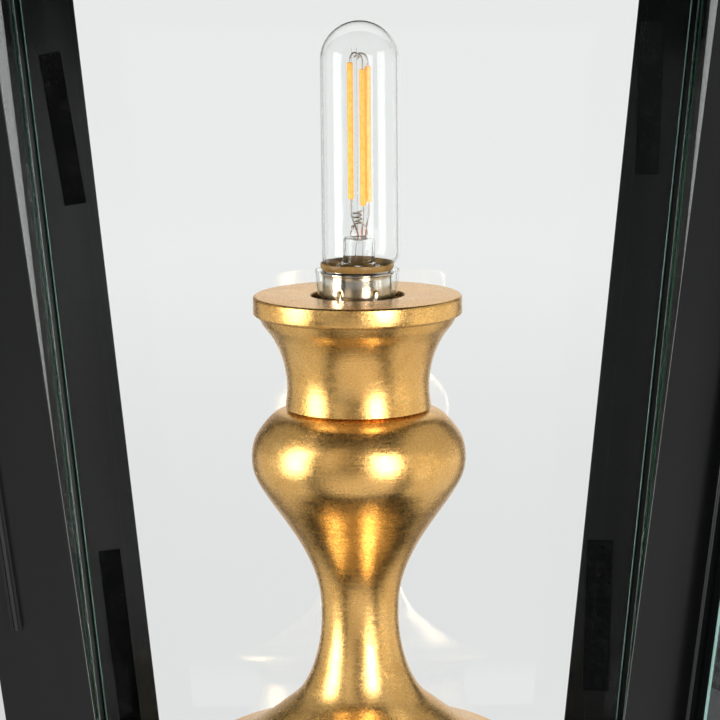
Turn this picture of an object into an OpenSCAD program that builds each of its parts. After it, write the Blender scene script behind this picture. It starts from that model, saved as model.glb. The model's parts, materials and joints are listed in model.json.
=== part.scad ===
// Lantern table lamp: a tapered square cage of black steel angle with taped glass panes,
// a hinged front door, a stepped base, a vented roof and a gold turned pedestal with one bulb.
// Origin: centre of the felt under the base. +Z up, the door is on the -Y side.

/* [Cage] */
// Outer width of the cage at its foot
cage_foot_w = 226.5; // [216:0.5:228]
// Outer width of the cage at its top
cage_top_w = 314.5; // [300:0.5:330]
// Height of the cage
cage_h = 408; // [395:1:430]
// Leg of the corner angles and width of the rails
bar_w = 30; // [28:0.5:32]
// Thickness of the cage steel
bar_t = 1.5; // [1.2:0.1:2]

/* [Base] */
// Thickness of the felt under the base
felt_t = 2; // [1:0.5:3]
// Width of the lower step
step_w = 254; // [248:1:270]
// Height of the lower step above the felt
step_h = 18; // [16:1:24]
// Width of the upper plinth
plinth_w = 234; // [230:1:240]
// Height of the upper plinth above the step
plinth_h = 42; // [36:1:56]
// Thickness of the folded sheet in the base
sheet_t = 1.5; // [1.2:0.1:2]
// Thickness of the floor plate inside the cage
floor_t = 1.5; // [1:0.1:3]
// Radius of the hole in the cord grommet
cord_r = 3.2; // [2.6:0.1:3.6]

/* [Glass] */
// Thickness of the panes
glass_t = 3; // [2:0.1:3.2]
// Thickness of the black foam tape between steel and glass
tape_t = 1; // [0.5:0.1:1.2]
// Distance from a corner's outer edge to the edge of its panes
pane_inset = 7.6; // [7:0.1:9]
// Length of a tape pad
pad_l = 65; // [50:1:80]
// Width of a tape pad
pad_w = 9; // [6:0.5:10]

/* [Door] */
// How far the door reaches over the steel on each side of the opening
door_overlap = 24.5; // [24:0.1:24.8]
// Width of the door's face bars
door_bar_w = 24.5; // [20:0.5:28]
// Thickness of the door's sheet
door_t = 1.5; // [1.2:0.1:1.8]
// Depth of the turned-in rim round the door
rim_h = 4.5; // [4.3:0.1:5.5]
// Distance from the door's edge to its pane
door_pane_inset = 7; // [6.6:0.1:8]
// How far the door stands open as the part is drawn
door_angle = 135; // [90:1:150]
// Outer radius of a hinge knuckle
knuckle_r = 3.2; // [3:0.1:3.6]
// Length of one hinge knuckle
knuckle_l = 12; // [10:0.5:16]
// Radius of the hinge pins
pin_r = 1.5; // [1.3:0.05:1.7]
// Distance from the door's lower and upper end to the middle of the nearer hinge
hinge_inset = 45; // [35:1:60]
// Width of a hinge leaf
leaf_w = 16; // [12:0.5:20]
// Radius of the door knob
knob_r = 7; // [5:0.5:9]
// Length of the magnetic catch
catch_l = 126; // [80:1:160]
// Height of the catch's lower end above the foot of the cage
catch_z = 140; // [120:1:180]

/* [Roof] */
// Width of the eave plate
eave_w = 332; // [326:1:350]
// Width of the roof hood at its foot
hood_w = 326; // [322:1:326]
// Width of the roof hood at its top
hood_top_w = 92; // [90:1:110]
// Height of the roof hood
hood_h = 76; // [60:1:100]
// Width of the vent collar
vent_w = 84; // [76:1:90]
// Height of the vent collar
vent_h = 26; // [22:1:36]
// Width of the vent cap
cap_w = 112; // [108:1:130]
// Height of the vent cap's slope
cap_h = 28; // [22:1:36]
// Radius of the ring handle at the middle of its wire
ring_r = 24; // [22:0.5:26]
// Radius of the ring handle's wire
ring_wire_r = 2.2; // [2:0.1:2.4]

/* [Pedestal] */
// Height of the pedestal from the floor plate to the top of its disc
pedestal_h = 236.5; // [228:0.5:245]
// Radius of the disc on top
disc_r = 40.2; // [39:0.1:42]
// Thickness of the disc's edge
disc_t = 7.3; // [6:0.1:8]
// Radius of the socket hole in the disc
hole_r = 17.85; // [17.2:0.05:19]
// Depth of the socket hole
hole_depth = 40; // [39.5:0.1:40.5]
// Outer radius of the threaded lamp pipe
pipe_r = 5; // [4.5:0.1:6]

/* [Bulb and socket] */
// Outer radius of the bulb's glass tube
bulb_r = 15; // [14.2:0.1:15]
// Height of the bulb's top above the disc
bulb_top = 105; // [95:1:115]
// Wall thickness of the bulb's glass
bulb_wall = 0.8; // [0.6:0.1:1.2]
// Radius of the bulb's screw cap
cap_r = 13.3; // [13:0.05:13.35]
// Outer radius of the clear socket sleeve
sleeve_r = 16.2; // [16:0.1:16.8]
// Height of the clear sleeve above the disc
sleeve_top = 9.6; // [6:0.1:12]
// Length of an LED filament
filament_l = 52; // [40:1:56]

/* [Hidden] */

$fn = 64;
steel = "#26272a";
gold = "#c9973f";
clear_glass = [0.72, 0.86, 0.82, 0.35];
nickel = "#b9b4ab";
tape = "#101112";
gap = 0.3;        // clearance between pieces that are not joined
bore_gap = 0.05;  // radial clearance of pins and pipes
cut = 1;          // how far a cutting solid reaches past a face

// heights
step_top = felt_t + step_h;
cage_z = step_top + plinth_h;
cage_top = cage_z + cage_h;
floor_z = cage_z + floor_t;
disc_z = floor_z + pedestal_h;
eave_t = sheet_t;
hood_z = cage_top + eave_t;
hood_top = hood_z + hood_h;
vent_top = hood_top + vent_h;

// slope of the cage
flare = (cage_top_w - cage_foot_w) / 2 / cage_h;
lean = atan(flare);
slant_h = cage_h / cos(lean);
edge_lean = atan(sin(lean));
function half(v) = cage_foot_w / 2 + v * sin(lean);
function opening(v) = half(v) - bar_w;

// ---------- frames of reference ----------

// A face of the cage seen from outside: u to the right, v up the slope, n outwards.
// side 0 is the front, 1 the right, 2 the rear and 3 the left
module on_face(side) {
    rotate([0, 0, 90 * side])
        translate([0, -cage_foot_w / 2, cage_z])
            rotate([90 + lean, 0, 0])
                children();
}

// A trapezium on a face whose sides run parallel to the corners, d outside the opening
module face_panel(d, v0, v1, n0, thick) {
    translate([0, 0, n0])
        linear_extrude(thick)
            polygon([
                [-opening(v0) - d, v0],
                [opening(v0) + d, v0],
                [opening(v1) + d, v1],
                [-opening(v1) - d, v1]]);
}

// ---------- small shapes ----------

module box(w, z0, z1) {
    translate([-w / 2, -w / 2, z0])
        cube([w, w, z1 - z0]);
}

module square_ring(outer_w, inner_w, z0, z1) {
    difference() {
        box(outer_w, z0, z1);
        box(inner_w, z0 - cut, z1 + cut);
    }
}

// A solid whose square section changes in a straight line from w0 at z0 to w1 at z1
module frustum(w0, z0, w1, z1) {
    a = w0 / 2;
    b = w1 / 2;
    polyhedron(
        [[-a, -a, z0], [a, -a, z0], [a, a, z0], [-a, a, z0],
         [-b, -b, z1], [b, -b, z1], [b, b, z1], [-b, b, z1]],
        [[0, 1, 2, 3], [4, 7, 6, 5], [0, 4, 5, 1], [1, 5, 6, 2], [2, 6, 7, 3], [3, 7, 4, 0]]);
}

module tube(r_out, r_in, z0, z1) {
    translate([0, 0, z0])
        difference() {
            cylinder(r = r_out, h = z1 - z0);
            translate([0, 0, -cut])
                cylinder(r = r_in, h = z1 - z0 + 2 * cut);
        }
}

module four_corners(d) {
    for (i = [0:3])
        rotate([0, 0, 90 * i])
            translate([d, d, 0])
                children();
}

// a smooth curve through the points of a profile
function curve_point(a, b, c, d, t) = 0.5 * (2 * b + (c - a) * t + (2 * a - 5 * b + 4 * c - d) * t * t
    + (3 * b - 3 * c + d - a) * t * t * t);
function curve(p, steps) = concat(
    [for (i = [0:len(p) - 2])
        let (a = i == 0 ? 2 * p[0] - p[1] : p[i - 1],
             d = i == len(p) - 2 ? 2 * p[i + 1] - p[i] : p[i + 2])
        for (k = [0:steps - 1]) curve_point(a, p[i], p[i + 1], d, k / steps)],
    [p[len(p) - 1]]);

// ---------- base ----------

screw_r = 1.6;
screw_head_r = 3.2;
screw_head_h = 1.6;
cover_screw_l = 12;
standoff_r = 5;
standoff_inset = 3;
standoff_at = step_w / 2 - sheet_t - standoff_r - standoff_inset;
felt_inset = 4;
cover_z = felt_t;
cover_top = cover_z + sheet_t;
step_inner_w = step_w - 2 * sheet_t;
step_seat = 9;
step_mouth_w = plinth_w - 2 * step_seat;
pipe_hole_r = pipe_r + 0.2;
grommet_z = felt_t + step_h / 2;
grommet_flange_r = cord_r + 4;
grommet_flange_t = 2;
grommet_neck_r = cord_r + 1.6;
grommet_l = 2 * grommet_flange_t + sheet_t;

module felt_pad() {
    color("#2b2a28")
        difference() {
            box(step_w - 2 * felt_inset, 0, felt_t);
            four_corners(standoff_at)
                translate([0, 0, -cut])
                    cylinder(r = screw_head_r + 2 * gap, h = felt_t + 2 * cut);
        }
}

module base_cover() {
    color(steel)
        difference() {
            box(step_inner_w - 2 * gap, cover_z, cover_top);
            four_corners(standoff_at)
                translate([0, 0, cover_z - cut])
                    cylinder(r = screw_r + bore_gap, h = sheet_t + 2 * cut);
        }
}

module cover_standoffs() {
    color(nickel)
        four_corners(standoff_at)
            tube(standoff_r, screw_r + bore_gap, cover_top, step_top - sheet_t);
}

module cover_screws() {
    color(nickel)
        four_corners(standoff_at) {
            translate([0, 0, cover_z - screw_head_h])
                cylinder(r = screw_head_r, h = screw_head_h);
            translate([0, 0, cover_z])
                cylinder(r = screw_r, h = cover_screw_l);
        }
}

module plinth_step() {
    color(steel)
        difference() {
            box(step_w, felt_t, step_top);
            box(step_inner_w, felt_t - cut, step_top - sheet_t);
            box(step_mouth_w, step_top - sheet_t - cut, step_top + cut);
            translate([0, step_w / 2 + cut, grommet_z])
                rotate([90, 0, 0])
                    cylinder(r = grommet_neck_r + bore_gap, h = sheet_t + 2 * cut);
        }
}

module plinth_box() {
    color(steel)
        difference() {
            box(plinth_w, step_top, cage_z);
            box(plinth_w - 2 * sheet_t, step_top - cut, cage_z - sheet_t);
            translate([0, 0, cage_z - sheet_t - cut])
                cylinder(r = pipe_hole_r, h = sheet_t + 2 * cut);
        }
}

module cord_grommet() {
    color(tape)
        translate([0, step_w / 2 + grommet_flange_t, grommet_z])
            rotate([90, 0, 0])
                difference() {
                    union() {
                        cylinder(r = grommet_flange_r, h = grommet_flange_t);
                        cylinder(r = grommet_neck_r, h = grommet_l);
                        translate([0, 0, grommet_l - grommet_flange_t])
                            cylinder(r = grommet_flange_r, h = grommet_flange_t);
                    }
                    translate([0, 0, -cut])
                        cylinder(r = cord_r, h = grommet_l + 2 * cut);
                }
}

floor_gap = 0.6;

module floor_plate() {
    color(steel)
        difference() {
            box(cage_foot_w - 2 * bar_t - 2 * floor_gap, cage_z, floor_z);
            translate([0, 0, cage_z - cut])
                cylinder(r = pipe_hole_r, h = floor_t + 2 * cut);
        }
}

// ---------- cage ----------

// The corner angle is a prism along the cage's sloping edge, cut level at both ends.
edge_len = sqrt(1 + 2 * flare * flare);
edge_dir = [flare, -flare, 1] / edge_len;
leg_u = ([0, 1, 0] - edge_dir[1] * edge_dir) / sqrt(1 - edge_dir[1] * edge_dir[1]);
leg_n = cross(edge_dir, leg_u);
dihedral = acos(-sin(lean) * sin(lean));
leg_w = bar_w * cos(edge_lean);

module angle_profile() {
    far = [cos(dihedral), sin(dihedral)];
    inward = [sin(dihedral), -cos(dihedral)];
    corner = bar_t / sin(dihedral / 2) * [cos(dihedral / 2), sin(dihedral / 2)];
    polygon([
        [0, 0],
        [leg_w, 0],
        [leg_w, bar_t],
        corner,
        leg_w * far + bar_t * inward,
        leg_w * far]);
}

// side is the face that has this post at its right end
module post(side) {
    over = bar_w;
    color(steel)
        rotate([0, 0, 90 * side])
            intersection() {
                translate([cage_foot_w / 2, -cage_foot_w / 2, cage_z])
                    multmatrix([
                        [leg_u[0], leg_n[0], edge_dir[0], 0],
                        [leg_u[1], leg_n[1], edge_dir[1], 0],
                        [leg_u[2], leg_n[2], edge_dir[2], 0],
                        [0, 0, 0, 1]])
                        translate([0, 0, -over])
                            linear_extrude(cage_h * edge_len + 2 * over)
                                angle_profile();
                box(cage_top_w + 4 * bar_w, cage_z, cage_top);
            }
}

module bottom_rail(side) {
    color(steel)
        on_face(side)
            face_panel(0, 0, bar_w, -bar_t, bar_t);
}

module top_rail(side) {
    color(steel)
        on_face(side)
            face_panel(0, slant_h - bar_w, slant_h - bar_t * sin(lean), -bar_t, bar_t);
}

// ---------- glass ----------

pane_n = -bar_t - tape_t - glass_t;
pane_d = bar_w - pane_inset;

module pane(side) {
    color(clear_glass)
        on_face(side)
            face_panel(pane_d, pane_inset, slant_h - pane_inset, pane_n, glass_t);
}

// Pads stuck by hand: which edge, height up the slope, offset from the opening, tilt, length and width.
rear_pad_places = [
    [1, 291, 10.8, -2.9, pad_l, pad_w],
    [1, 73.5, 12.3, -0.2, pad_l + 10, pad_w],
    [-1, 302, 8.8, 3.5, pad_l, pad_w + 1],
    [-1, 81, 9.5, 4.1, pad_l, pad_w + 2]];
side_pad_places = [
    [1, 90, 11, 2, pad_l, pad_w],
    [1, 320, 11.5, -1.5, pad_l, pad_w],
    [-1, 80, 10.5, -2, pad_l, pad_w],
    [-1, 310, 11.5, 1, pad_l, pad_w]];

module tape_pads(places, n0) {
    for (p = places)
        mirror([p[0] < 0 ? 1 : 0, 0, 0])
            translate([opening(p[1]) + p[2], p[1], n0])
                rotate([0, 0, -edge_lean + p[3]])
                    translate([-p[5] / 2, -p[4] / 2, 0])
                        cube([p[5], p[4], tape_t]);
}

module pane_pads() {
    color(tape) {
        on_face(1)
            tape_pads(side_pad_places, -bar_t - tape_t);
        on_face(2)
            tape_pads(rear_pad_places, -bar_t - tape_t);
        on_face(3)
            tape_pads(side_pad_places, -bar_t - tape_t);
    }
}

// ---------- roof ----------

// the roof screws stand clear of the cage's rails and inside the hood's flange
roof_screw_at = min(cage_top_w / 2 - 10, hood_w / 2 - 15.75);
roof_screw_tip = 1;
eave_mouth_w = 2 * roof_screw_at - 14.5;
hood_flange_w = eave_mouth_w - 16;
hood_mouth_w = vent_w - 2 * sheet_t;
vent_slot_w = 16;
vent_slot_h = 5;
vent_slots = 3;
cap_rim_h = 4;
cap_mouth_w = 60;
cap_apex_w = 18;
cap_top = vent_top + cap_rim_h + cap_h;
eye_t = 4;
eye_r = 7.5;
eye_hole_r = ring_wire_r + 0.7;
eye_z = cap_top + 14;
finial_neck_r = 3;

module eave_plate() {
    color(steel)
        difference() {
            square_ring(eave_w, eave_mouth_w, cage_top, hood_z);
            roof_screw_holes(cage_top - cut, eave_t + 2 * cut);
        }
}

module roof_screw_holes(z, h) {
    for (i = [0:3])
        rotate([0, 0, 90 * i])
            translate([roof_screw_at, 0, z])
                cylinder(r = screw_r + bore_gap, h = h);
}

module roof_hood() {
    slope = (hood_w - hood_top_w) / 2 / hood_h;
    inner_top = hood_top - sheet_t;
    inner_w = hood_w - 2 * sheet_t * sqrt(1 + slope * slope);
    color(steel)
        difference() {
            frustum(hood_w, hood_z, hood_top_w, hood_top);
            frustum(inner_w - 2 * slope * sheet_t, hood_z + sheet_t,
                inner_w - 2 * slope * (inner_top - hood_z), inner_top);
            box(hood_flange_w, hood_z - cut, hood_z + 2 * sheet_t);
            box(hood_mouth_w, inner_top - 2 * cut, hood_top + cut);
            roof_screw_holes(hood_z - cut, sheet_t + 2 * cut);
        }
}

module roof_screws() {
    color(nickel)
        for (i = [0:3])
            rotate([0, 0, 90 * i])
                translate([roof_screw_at, 0, cage_top - screw_head_h]) {
                    cylinder(r = screw_head_r, h = screw_head_h);
                    cylinder(r = screw_r, h = screw_head_h + eave_t + sheet_t + roof_screw_tip);
                }
}

module vent_collar() {
    pitch = vent_w / (vent_slots + 1);
    color(steel)
        difference() {
            square_ring(vent_w, vent_w - 2 * sheet_t, hood_top, vent_top);
            for (turn = [0, 90])
                rotate([0, 0, turn])
                    for (i = [0:vent_slots - 1])
                        for (row = [1, 2])
                            translate([
                                (i - (vent_slots - 1) / 2) * pitch - vent_slot_w / 2,
                                -vent_w,
                                hood_top + row * vent_h / 3 - vent_slot_h / 2])
                                cube([vent_slot_w, 2 * vent_w, vent_slot_h]);
        }
}

module vent_cap() {
    slope = (cap_w - cap_apex_w) / 2 / cap_h;
    rim_top = vent_top + cap_rim_h;
    inner_w = cap_w - 2 * sheet_t * sqrt(1 + slope * slope);
    inner_top = cap_top - 3 * sheet_t;
    dip = sheet_t / 3;
    color(steel)
        difference() {
            union() {
                box(cap_w, vent_top, rim_top);
                frustum(cap_w, rim_top, cap_apex_w, cap_top);
            }
            frustum(inner_w + 2 * slope * dip, rim_top - dip,
                inner_w - 2 * slope * (inner_top - rim_top), inner_top);
            box(inner_w, vent_top + sheet_t, rim_top);
            box(cap_mouth_w, vent_top - cut, vent_top + 2 * sheet_t);
        }
}

module finial() {
    foot_r = cap_apex_w / 2 - 0.5;
    neck_z = eye_z - eye_r - cap_top;
    color(steel)
        difference() {
            union() {
                translate([0, 0, cap_top])
                    rotate_extrude()
                        polygon([
                            [0, 0],
                            [foot_r, 0],
                            [foot_r, 1.5],
                            [finial_neck_r + 1, 2.5],
                            [finial_neck_r, neck_z],
                            [finial_neck_r, neck_z + 2],
                            [0, neck_z + 2]]);
                translate([-eye_t / 2, 0, eye_z])
                    rotate([0, 90, 0])
                        cylinder(r = eye_r, h = eye_t);
            }
            translate([-eye_t, 0, eye_z])
                rotate([0, 90, 0])
                    cylinder(r = eye_hole_r, h = 2 * eye_t);
        }
}

// The ring lies back on the cap: its fall below level, found from the cap's slope.
cap_slope = atan(cap_h / ((cap_w - cap_apex_w) / 2));
eye_rise = eye_z - cap_top - cap_apex_w / 2 * tan(cap_slope);
ring_lift = (ring_wire_r + gap) / cos(cap_slope);
ring_fall = cap_slope + asin((eye_rise - ring_lift) * cos(cap_slope) / (2 * ring_r));

module ring_handle() {
    color(steel)
        translate([0, 0, eye_z])
            rotate([-ring_fall, 0, 0])
                translate([0, ring_r, 0])
                    rotate_extrude($fn = 96)
                        translate([ring_r, 0])
                            circle(r = ring_wire_r, $fn = 32);
}

// ---------- pedestal: heights are measured from the top of the disc ----------

seam_z = -44;
foot_z = -180;
edge_round = 0.9;
neck_points = [[36.6, -disc_t - 3.7], [32.9, -disc_t - 8.7], [29.9, -disc_t - 14.7], [28, -29],
    [27.4, -36], [28.1, seam_z]];
body_points = [[26.4, seam_z], [32, -46], [36.3, -50], [40.2, -56], [41.4, -63], [40.2, -70],
    [35.7, -78], [29.4, -87], [22.9, -97], [18.1, -107], [15.6, -116], [15, -125], [15.5, -134],
    [17.4, -143], [20.5, -151], [24.5, -157], [30.6, -162], [37.1, -167], [43.4, -171], [49.8, -174],
    [56, -175.6], [58.2, -177], [58.6, -179], [57.6, foot_z]];
foot_r = 70.5;
foot_points = [[55.5, foot_z], [50, -184], [47.5, -190], [48.5, -197], [53, -204], [60, -210],
    [66, -214], [foot_r - 1, -218.5], [foot_r, -223]];

module pipe_bore(z0, z1) {
    translate([0, 0, z0 - cut])
        cylinder(r = pipe_r + bore_gap, h = z1 - z0 + 2 * cut);
}

module turned(points) {
    rotate_extrude($fn = 128)
        polygon(points);
}

module pedestal_neck() {
    top = [[0, 0], [disc_r - edge_round, 0], [disc_r, -edge_round], [disc_r, -disc_t]];
    color(gold)
        translate([0, 0, disc_z])
            difference() {
                turned(concat([[0, seam_z]], top, curve(neck_points, 5)));
                translate([0, 0, -hole_depth])
                    cylinder(r = hole_r, h = hole_depth + cut);
                pipe_bore(seam_z, -hole_depth);
            }
}

module pedestal_body() {
    color(gold)
        translate([0, 0, disc_z])
            difference() {
                turned(concat([[0, foot_z], [0, seam_z]], curve(body_points, 4)));
                pipe_bore(foot_z, seam_z);
            }
}

module pedestal_foot() {
    color(gold)
        translate([0, 0, disc_z])
            difference() {
                turned(concat([[0, -pedestal_h], [0, foot_z]], curve(foot_points, 4),
                    [[foot_r, -pedestal_h + 1], [foot_r - 1, -pedestal_h]]));
                pipe_bore(-pedestal_h, foot_z);
            }
}

pipe_low = cage_z - 18;
pipe_top = disc_z - hole_depth + 6;
pipe_wall = 1.5;
washer_r = 12;
washer_t = 1.5;
nut_h = 5;
nut_flats = 17;

module lamp_pipe() {
    color("#b79a5a")
        tube(pipe_r, pipe_r - pipe_wall, pipe_low, pipe_top);
}

module pipe_washer() {
    color(nickel)
        tube(washer_r, pipe_r + bore_gap, cage_z - sheet_t - washer_t, cage_z - sheet_t);
}

module pipe_nut() {
    color(nickel)
        translate([0, 0, cage_z - sheet_t - washer_t - nut_h])
            difference() {
                cylinder(r = nut_flats / 2 / cos(30), h = nut_h, $fn = 6);
                translate([0, 0, -cut])
                    cylinder(r = pipe_r + bore_gap, h = nut_h + 2 * cut, $fn = 64);
            }
}

// ---------- socket and bulb: heights are measured from the top of the disc ----------

socket_floor = -hole_depth + 7;
socket_wall = 0.5;
cap_wall = 0.5;
thread_gap = 0.15;
shell_r = cap_r + thread_gap;
sleeve_wall = 1;
socket_r = sleeve_r - sleeve_wall - 2 * bore_gap;
contact_w = 6;
contact_leg_t = 3;
contact_tongue_t = 1;
socket_top = -14;
shell_top = -5;
cap_low = -20;
cap_high = 9.8;
tip_z = -26;
insulator_low = tip_z + 2;
glass_neck_r = cap_r - cap_wall - 0.2;
glass_foot = 8;
glass_shoulder = 16.5;
stem_r = 5.5;
stem_low = 12;
stem_high = 22;
rod_r = 1;
rod_top = stem_high + filament_l + 20;
// each filament: how far it stands right of the bulb's axis and behind it, and the height of its foot
filament_places = [[-3.7, -1.2, 37], [1, -1.6, 34.5], [3.1, 1.8, 35.5]];
filament_r = 1.15;
rod_x = -1.3;

module at_disc() {
    translate([0, 0, disc_z])
        children();
}

module socket_base() {
    color("#1b1b1c")
        at_disc()
            difference() {
                translate([0, 0, -hole_depth])
                    cylinder(r = socket_r, h = socket_top + hole_depth);
                translate([0, 0, socket_floor])
                    cylinder(r = shell_r + socket_wall + bore_gap, h = hole_depth);
                pipe_bore(-hole_depth, socket_floor);
            }
}

module socket_shell() {
    color(nickel)
        at_disc()
            tube(shell_r + socket_wall, shell_r, socket_floor, shell_top);
}

module socket_contact() {
    color("#c08a4a")
        at_disc()
            translate([-contact_w / 2, 0, 0]) {
                translate([0, pipe_r + 1, socket_floor])
                    cube([contact_w, contact_leg_t, tip_z - socket_floor]);
                translate([0, -contact_w / 3, tip_z - contact_tongue_t])
                    cube([contact_w, pipe_r + contact_w / 3 + 2, contact_tongue_t]);
            }
}

module socket_sleeve() {
    color(clear_glass)
        at_disc()
            tube(sleeve_r, sleeve_r - sleeve_wall, -hole_depth, sleeve_top);
}

function dome(r, top, steps) =
    [for (k = [0:steps]) [r * cos(90 * k / steps), top - r + r * sin(90 * k / steps)]];

module bulb_glass() {
    inner_r = bulb_r - bulb_wall;
    neck_in = glass_neck_r - bulb_wall;
    swell = 0.6 * (bulb_r - glass_neck_r);
    arc = 14;
    color(clear_glass)
        at_disc()
            turned(concat(
                [[neck_in, glass_foot], [glass_neck_r, glass_foot], [glass_neck_r, cap_high + 1],
                 [glass_neck_r + swell, cap_high + 2.8], [bulb_r, glass_shoulder]],
                dome(bulb_r, bulb_top, arc),
                [for (p = [arc:-1:0]) dome(inner_r, bulb_top - bulb_wall, arc)[p]],
                [[inner_r, glass_shoulder], [neck_in + swell, cap_high + 3.2], [neck_in, cap_high + 1.2]]));
}

module bulb_stem() {
    flare_r = glass_neck_r - bulb_wall - bore_gap;
    color(clear_glass)
        at_disc() {
            turned([[stem_r - 1, stem_low], [flare_r - 0.5, glass_foot + 0.6], [flare_r, glass_foot + 0.8],
                [flare_r, glass_foot + 1.6], [stem_r, stem_low + 1.5], [stem_r, stem_high - 2],
                [3.2, stem_high], [0, stem_high], [0, stem_high - 1], [2.8, stem_high - 1],
                [stem_r - 1, stem_high - 2.6]]);
            translate([rod_x, 0, stem_high - 0.5])
                cylinder(r = rod_r, h = rod_top - stem_high, $fn = 24);
        }
}

module bulb_filaments() {
    color("#f3a53c")
        at_disc()
            for (f = filament_places)
                translate([f[0], f[1], f[2]])
                    cylinder(r = filament_r, h = filament_l, $fn = 24);
}

// lead wires from the stem to the feet of the filaments, and strips that join their tops to the rod
wire_r = 0.35;
strip_w = 0.9;
strip_t = 0.5;

module bulb_wires() {
    strip_z = max([for (f = filament_places) f[2]]) + filament_l + 1.5;
    color(nickel)
        at_disc()
            for (f = filament_places) {
                translate([f[0], f[1], stem_high - 1])
                    cylinder(r = wire_r, h = f[2] - stem_high + 1, $fn = 16);
                translate([f[0], f[1], f[2] + filament_l])
                    cylinder(r = wire_r, h = strip_z - f[2] - filament_l, $fn = 16);
                translate([f[0], f[1], strip_z])
                    strip_to([rod_x - f[0], -f[1]]);
            }
}

// a flat strip from the axis of a lead to just inside the rod, which stands at d from it
module strip_to(d) {
    rotate([0, 0, atan2(d[1], d[0])])
        translate([-strip_w / 2, -strip_w / 2, 0])
            cube([norm(d) + strip_w / 2 - rod_r / 2, strip_w, strip_t]);
}

module bulb_cap() {
    collar_r = cap_r + 0.25;
    bead_r = collar_r + 0.55;
    color(nickel)
        at_disc()
            turned([[cap_r, cap_low], [cap_r, -2], [collar_r, -1], [collar_r, cap_high - 2.4],
                [bead_r, cap_high - 1.9], [bead_r, cap_high - 0.5],
                [collar_r + 0.2, cap_high], [cap_r - cap_wall, cap_high], [cap_r - cap_wall, cap_low]]);
}

module bulb_insulator() {
    color("#17181a")
        at_disc()
            turned([[0, insulator_low], [4.8, insulator_low], [9, cap_low - 0.8],
                [cap_r - cap_wall - 0.3, cap_low], [cap_r - cap_wall, cap_low + 2],
                [0, cap_low + 2]]);
}

module bulb_contact() {
    color(nickel)
        at_disc()
            turned([[0, tip_z], [3.2, tip_z], [4.6, tip_z + 1], [4.6, insulator_low],
                [0, insulator_low]]);
}

// ---------- door ----------

door_v0 = bar_w - door_overlap;
door_v1 = slant_h - bar_w + door_overlap;
rim_n = gap;
sheet_n = rim_n + rim_h;
face_n = sheet_n + door_t;
axis_n = face_n + knuckle_r + gap;
door_tape_n = sheet_n - tape_t;
hinge_v = [door_v0 + hinge_inset, door_v1 - hinge_inset];
knob_v = (door_v0 + door_v1) / 2;
knob_d = door_overlap - door_bar_w / 2;

// The door is drawn shut in the front face's own frame and swung about the hinge line.
module swung() {
    on_face(0)
        translate([opening(0) + door_overlap, 0, axis_n])
            rotate([0, 0, -edge_lean])
                rotate([0, door_angle, 0])
                    rotate([0, 0, edge_lean])
                        translate([-opening(0) - door_overlap, 0, -axis_n])
                            children();
}

// a trapezium inside the door's outline, inset on all sides
module door_panel(inset, n0, thick) {
    face_panel(door_overlap - inset, door_v0 + inset, door_v1 - inset, n0, thick);
}

// the place of one hinge on the shut door: x away from the door, y along the hinge line
module at_hinge(v) {
    translate([opening(v) + door_overlap, v, 0])
        rotate([0, 0, -edge_lean])
            children();
}

module along_hinge(y0, y1, r, sides = 48) {
    translate([0, y0, axis_n])
        rotate([-90, 0, 0])
            cylinder(r = r, h = y1 - y0, $fn = sides);
}

leaf_t = 1.2;
leaf_screw_r = 1.25;
leaf_screw_head_r = 2.2;
leaf_screw_head_h = 1.1;
leaf_screw_x = -leaf_w + 5;
leaf_screw_y = 1.5 * knuckle_l - 6;
stud_r = 2;
knuckle_gap = 0.2;
leaf_clear = 0.5;
lug_gap = 0.8;
lug_t = 1.5;
lug_tail = 5;

module leaf_screw_places() {
    for (v = hinge_v)
        at_hinge(v)
            for (y = [-leaf_screw_y, leaf_screw_y])
                translate([leaf_screw_x, y, 0])
                    children();
}

module door_frame() {
    color(steel)
        swung()
            difference() {
                door_panel(0, rim_n, rim_h + door_t);
                door_panel(door_t, rim_n - cut, rim_h + cut);
                door_panel(door_bar_w, rim_n - cut, rim_h + door_t + 2 * cut);
                leaf_screw_places()
                    translate([0, 0, sheet_n - cut])
                        cylinder(r = leaf_screw_r + bore_gap, h = door_t + 2 * cut);
                translate([-opening(knob_v) - knob_d, knob_v, sheet_n - cut])
                    cylinder(r = stud_r + bore_gap, h = door_t + 2 * cut);
            }
}

module door_pane() {
    color(clear_glass)
        swung()
            door_panel(door_pane_inset, door_tape_n - glass_t, glass_t);
}

door_pad_places = [
    [1, 158, 11.5, 1.5, pad_l, pad_w],
    [1, 330, 10.5, -1, pad_l, pad_w],
    [-1, 100, 10.8, 1, pad_l, pad_w],
    [-1, 330, 11.2, -2, pad_l, pad_w]];

module door_pads() {
    color(tape)
        swung()
            tape_pads(door_pad_places, door_tape_n);
}

module door_knob() {
    neck_h = 5;
    color(steel)
        swung()
            translate([-opening(knob_v) - knob_d, knob_v, sheet_n])
                rotate_extrude()
                    difference() {
                        union() {
                            square([stud_r, door_t + 1]);
                            translate([0, door_t])
                                square([knob_r * 0.75, 1]);
                            translate([0, door_t])
                                square([knob_r * 0.45, neck_h + 1]);
                            translate([0, door_t + neck_h + knob_r * 0.9])
                                circle(r = knob_r);
                        }
                        translate([-2 * knob_r, -knob_r])
                            square([2 * knob_r, 6 * knob_r]);
                    }
}

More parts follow.
